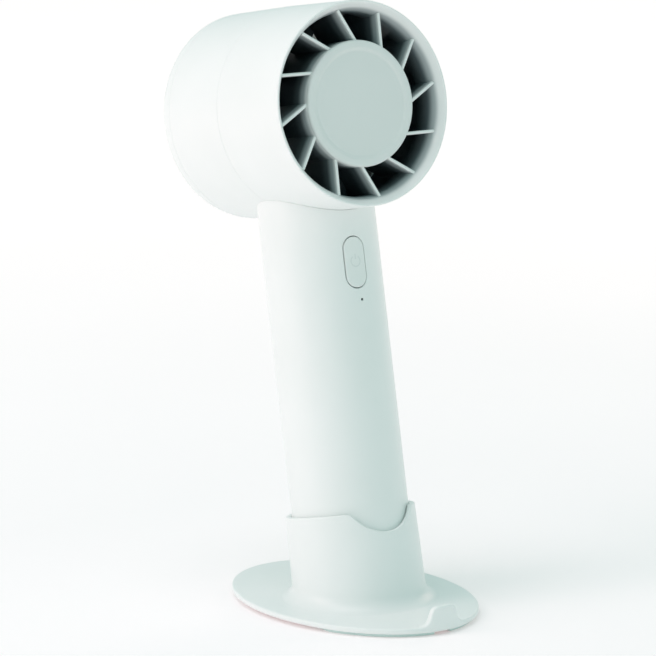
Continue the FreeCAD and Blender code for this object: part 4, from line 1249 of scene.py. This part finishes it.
# Inner pieces keep their CAD meshes and get their own finishes
inner = [
    (castAluminium, ["motor_base"]),
    (hardSteel, ["front_bearing", "rear_bearing", "shaft", "retaining_clip"]),
    (coreSteel, ["stator_core"]),
    (copper, ["motor_windings"]),
    (platedSteel, ["rotor_can"]),
    (magnet, ["magnet_ring"]),
    (zincSteel, ["motor_screws", "neck_screws", "pcb_screws"]),
    (siliconeWire, ["motor_lead", "battery_leads", "charge_leads"]),
    (plugNylon, ["motor_plug"]),
    (greyAbs, ["neck_bracket", "battery_cradle"]),
    (fibreglass, ["main_pcb", "charge_board"]),
    (switchNylon, ["tact_switch", "switch_plunger"]),
    (chipEpoxy, ["pcb_components"]),
    (lightAcrylic, ["charge_led"]),
    (cellSleeve, ["battery_cell"]),
    (nickel, ["battery_tabs"]),
]
for material, names in inner:
    for name in names:
        mesh = frame["nodes"][name].data
        for index in range(len(mesh.materials)):
            mesh.materials[index] = material
        if not mesh.materials:
            mesh.materials.append(material)
print("inner pieces finished", sum(len(names) for material, names in inner))


# Stage: pale floor, soft lights and the camera
lighting = {
    "air": "#dbfffb",
    "airStrength": 0.60,
    "nearGlow": 0.20,
    "farGlow": 0.62,
    "glow": "#ffdcdc",
    "aim": (0, 0, 0.1),
}
areas = {                    # place, width, power and shade
    "key_low": ((-1.47, 0.48, 0.51), 0.8, 5.0, "#ffdce0"),
    "key_high": ((-1.21, 0.21, 1.13), 0.8, 4.3, "#ffdce0"),
    "overhead": ((-0.29, 0.05, 1.77), 1.0, 7.2, "#ffe5ec"),
    "fill_right": ((1.41, 0.51, 0.65), 0.8, 2.7, "#ffd2cd"),
}
view = {
    "place": (-0.58845, -0.84827, 0.27485),
    "azimuth": -34.552,      # turn of the view about the upright, in degrees
    "elevation": 10.113,     # its height above the horizon
    "roll": -0.738,
    "lens": 176.2,
}


def makeStage():
    bm = bmesh.new()
    bmesh.ops.create_circle(bm, cap_ends=True, segments=96, radius=14.0)
    mesh = bpy.data.meshes.new("floor")
    bm.to_mesh(mesh)
    bm.free()
    floor = bpy.data.objects.new("floor", mesh)
    scene.collection.objects.link(floor)
    # Painted board: white, with a painted glow in its emission that is weaker near the stand and
    # stronger further out, standing in for the light a lit sweep gives
    material = bpy.data.materials.new("board_painted_white")
    material.use_nodes = True
    tree = material.node_tree
    shader = tree.nodes["Principled BSDF"]
    place = addNode(tree, "TexCoord").outputs["Object"]
    clouds = addNode(tree, "TexNoise", {"Vector": place, "Scale": 4.0, "Detail": 2.0})
    tint = addNode(tree, "Mix", {
        0: clouds.outputs[0],
        6: toLinear("#eef1f2"),
        7: toLinear("#f4f6f7"),
    }, data_type="RGBA")
    tree.links.new(tint.outputs[2], shader.inputs["Base Color"])
    shader.inputs["Roughness"].default_value = 0.9
    away = addNode(tree, "VectorMath", {0: place}, operation="LENGTH")
    glow = addNode(tree, "MapRange", {
        "Value": away.outputs["Value"],
        "From Min": 0.15,
        "From Max": 1.8,
        "To Min": lighting["nearGlow"],
        "To Max": lighting["farGlow"],
    })
    tree.links.new(glow.outputs[0], shader.inputs["Emission Strength"])
    shader.inputs["Emission Color"].default_value = toLinear(lighting["glow"])
    mesh.materials.append(material)


def addLight(name, spot, size, power, shade):
    data = bpy.data.lights.new(name, "AREA")
    data.shape = "DISK"
    data.size = size
    data.energy = power
    data.color = toLinear(shade)[:3]
    light = bpy.data.objects.new(name, data)
    scene.collection.objects.link(light)
    light.location = spot
    towards = Vector(lighting["aim"]) - Vector(spot)
    light.rotation_euler = towards.to_track_quat("-Z", "Y").to_euler()


def makeLights():
    world = bpy.data.worlds.new("studio_air")
    world.use_nodes = True
    air = world.node_tree.nodes["Background"]
    air.inputs["Color"].default_value = toLinear(lighting["air"])
    air.inputs["Strength"].default_value = lighting["airStrength"]
    scene.world = world
    for name, (spot, size, power, shade) in areas.items():
        addLight(name, spot, size, power, shade)


def makeCamera():
    azimuth = radians(view["azimuth"])
    elevation = radians(view["elevation"])
    roll = radians(view["roll"])
    back = Vector((sin(azimuth) * cos(elevation), -cos(azimuth) * cos(elevation), sin(elevation)))
    right = Vector((cos(azimuth), sin(azimuth), 0))
    up = back.cross(right)
    sideways = right * cos(roll) + up * sin(roll)
    upwards = up * cos(roll) - right * sin(roll)
    data = bpy.data.cameras.new("camera")
    data.sensor_width = 36.0
    data.lens = view["lens"]
    data.clip_start = 0.05
    data.clip_end = 60.0
    camera = bpy.data.objects.new("camera", data)
    place = Matrix((sideways, upwards, back)).transposed().to_4x4()
    place.translation = view["place"]
    camera.matrix_world = place
    scene.collection.objects.link(camera)
    scene.camera = camera


makeStage()
makeLights()
makeCamera()
scene.view_settings.view_transform = "Standard"
print("stage done")

bpy.context.view_layer.update()
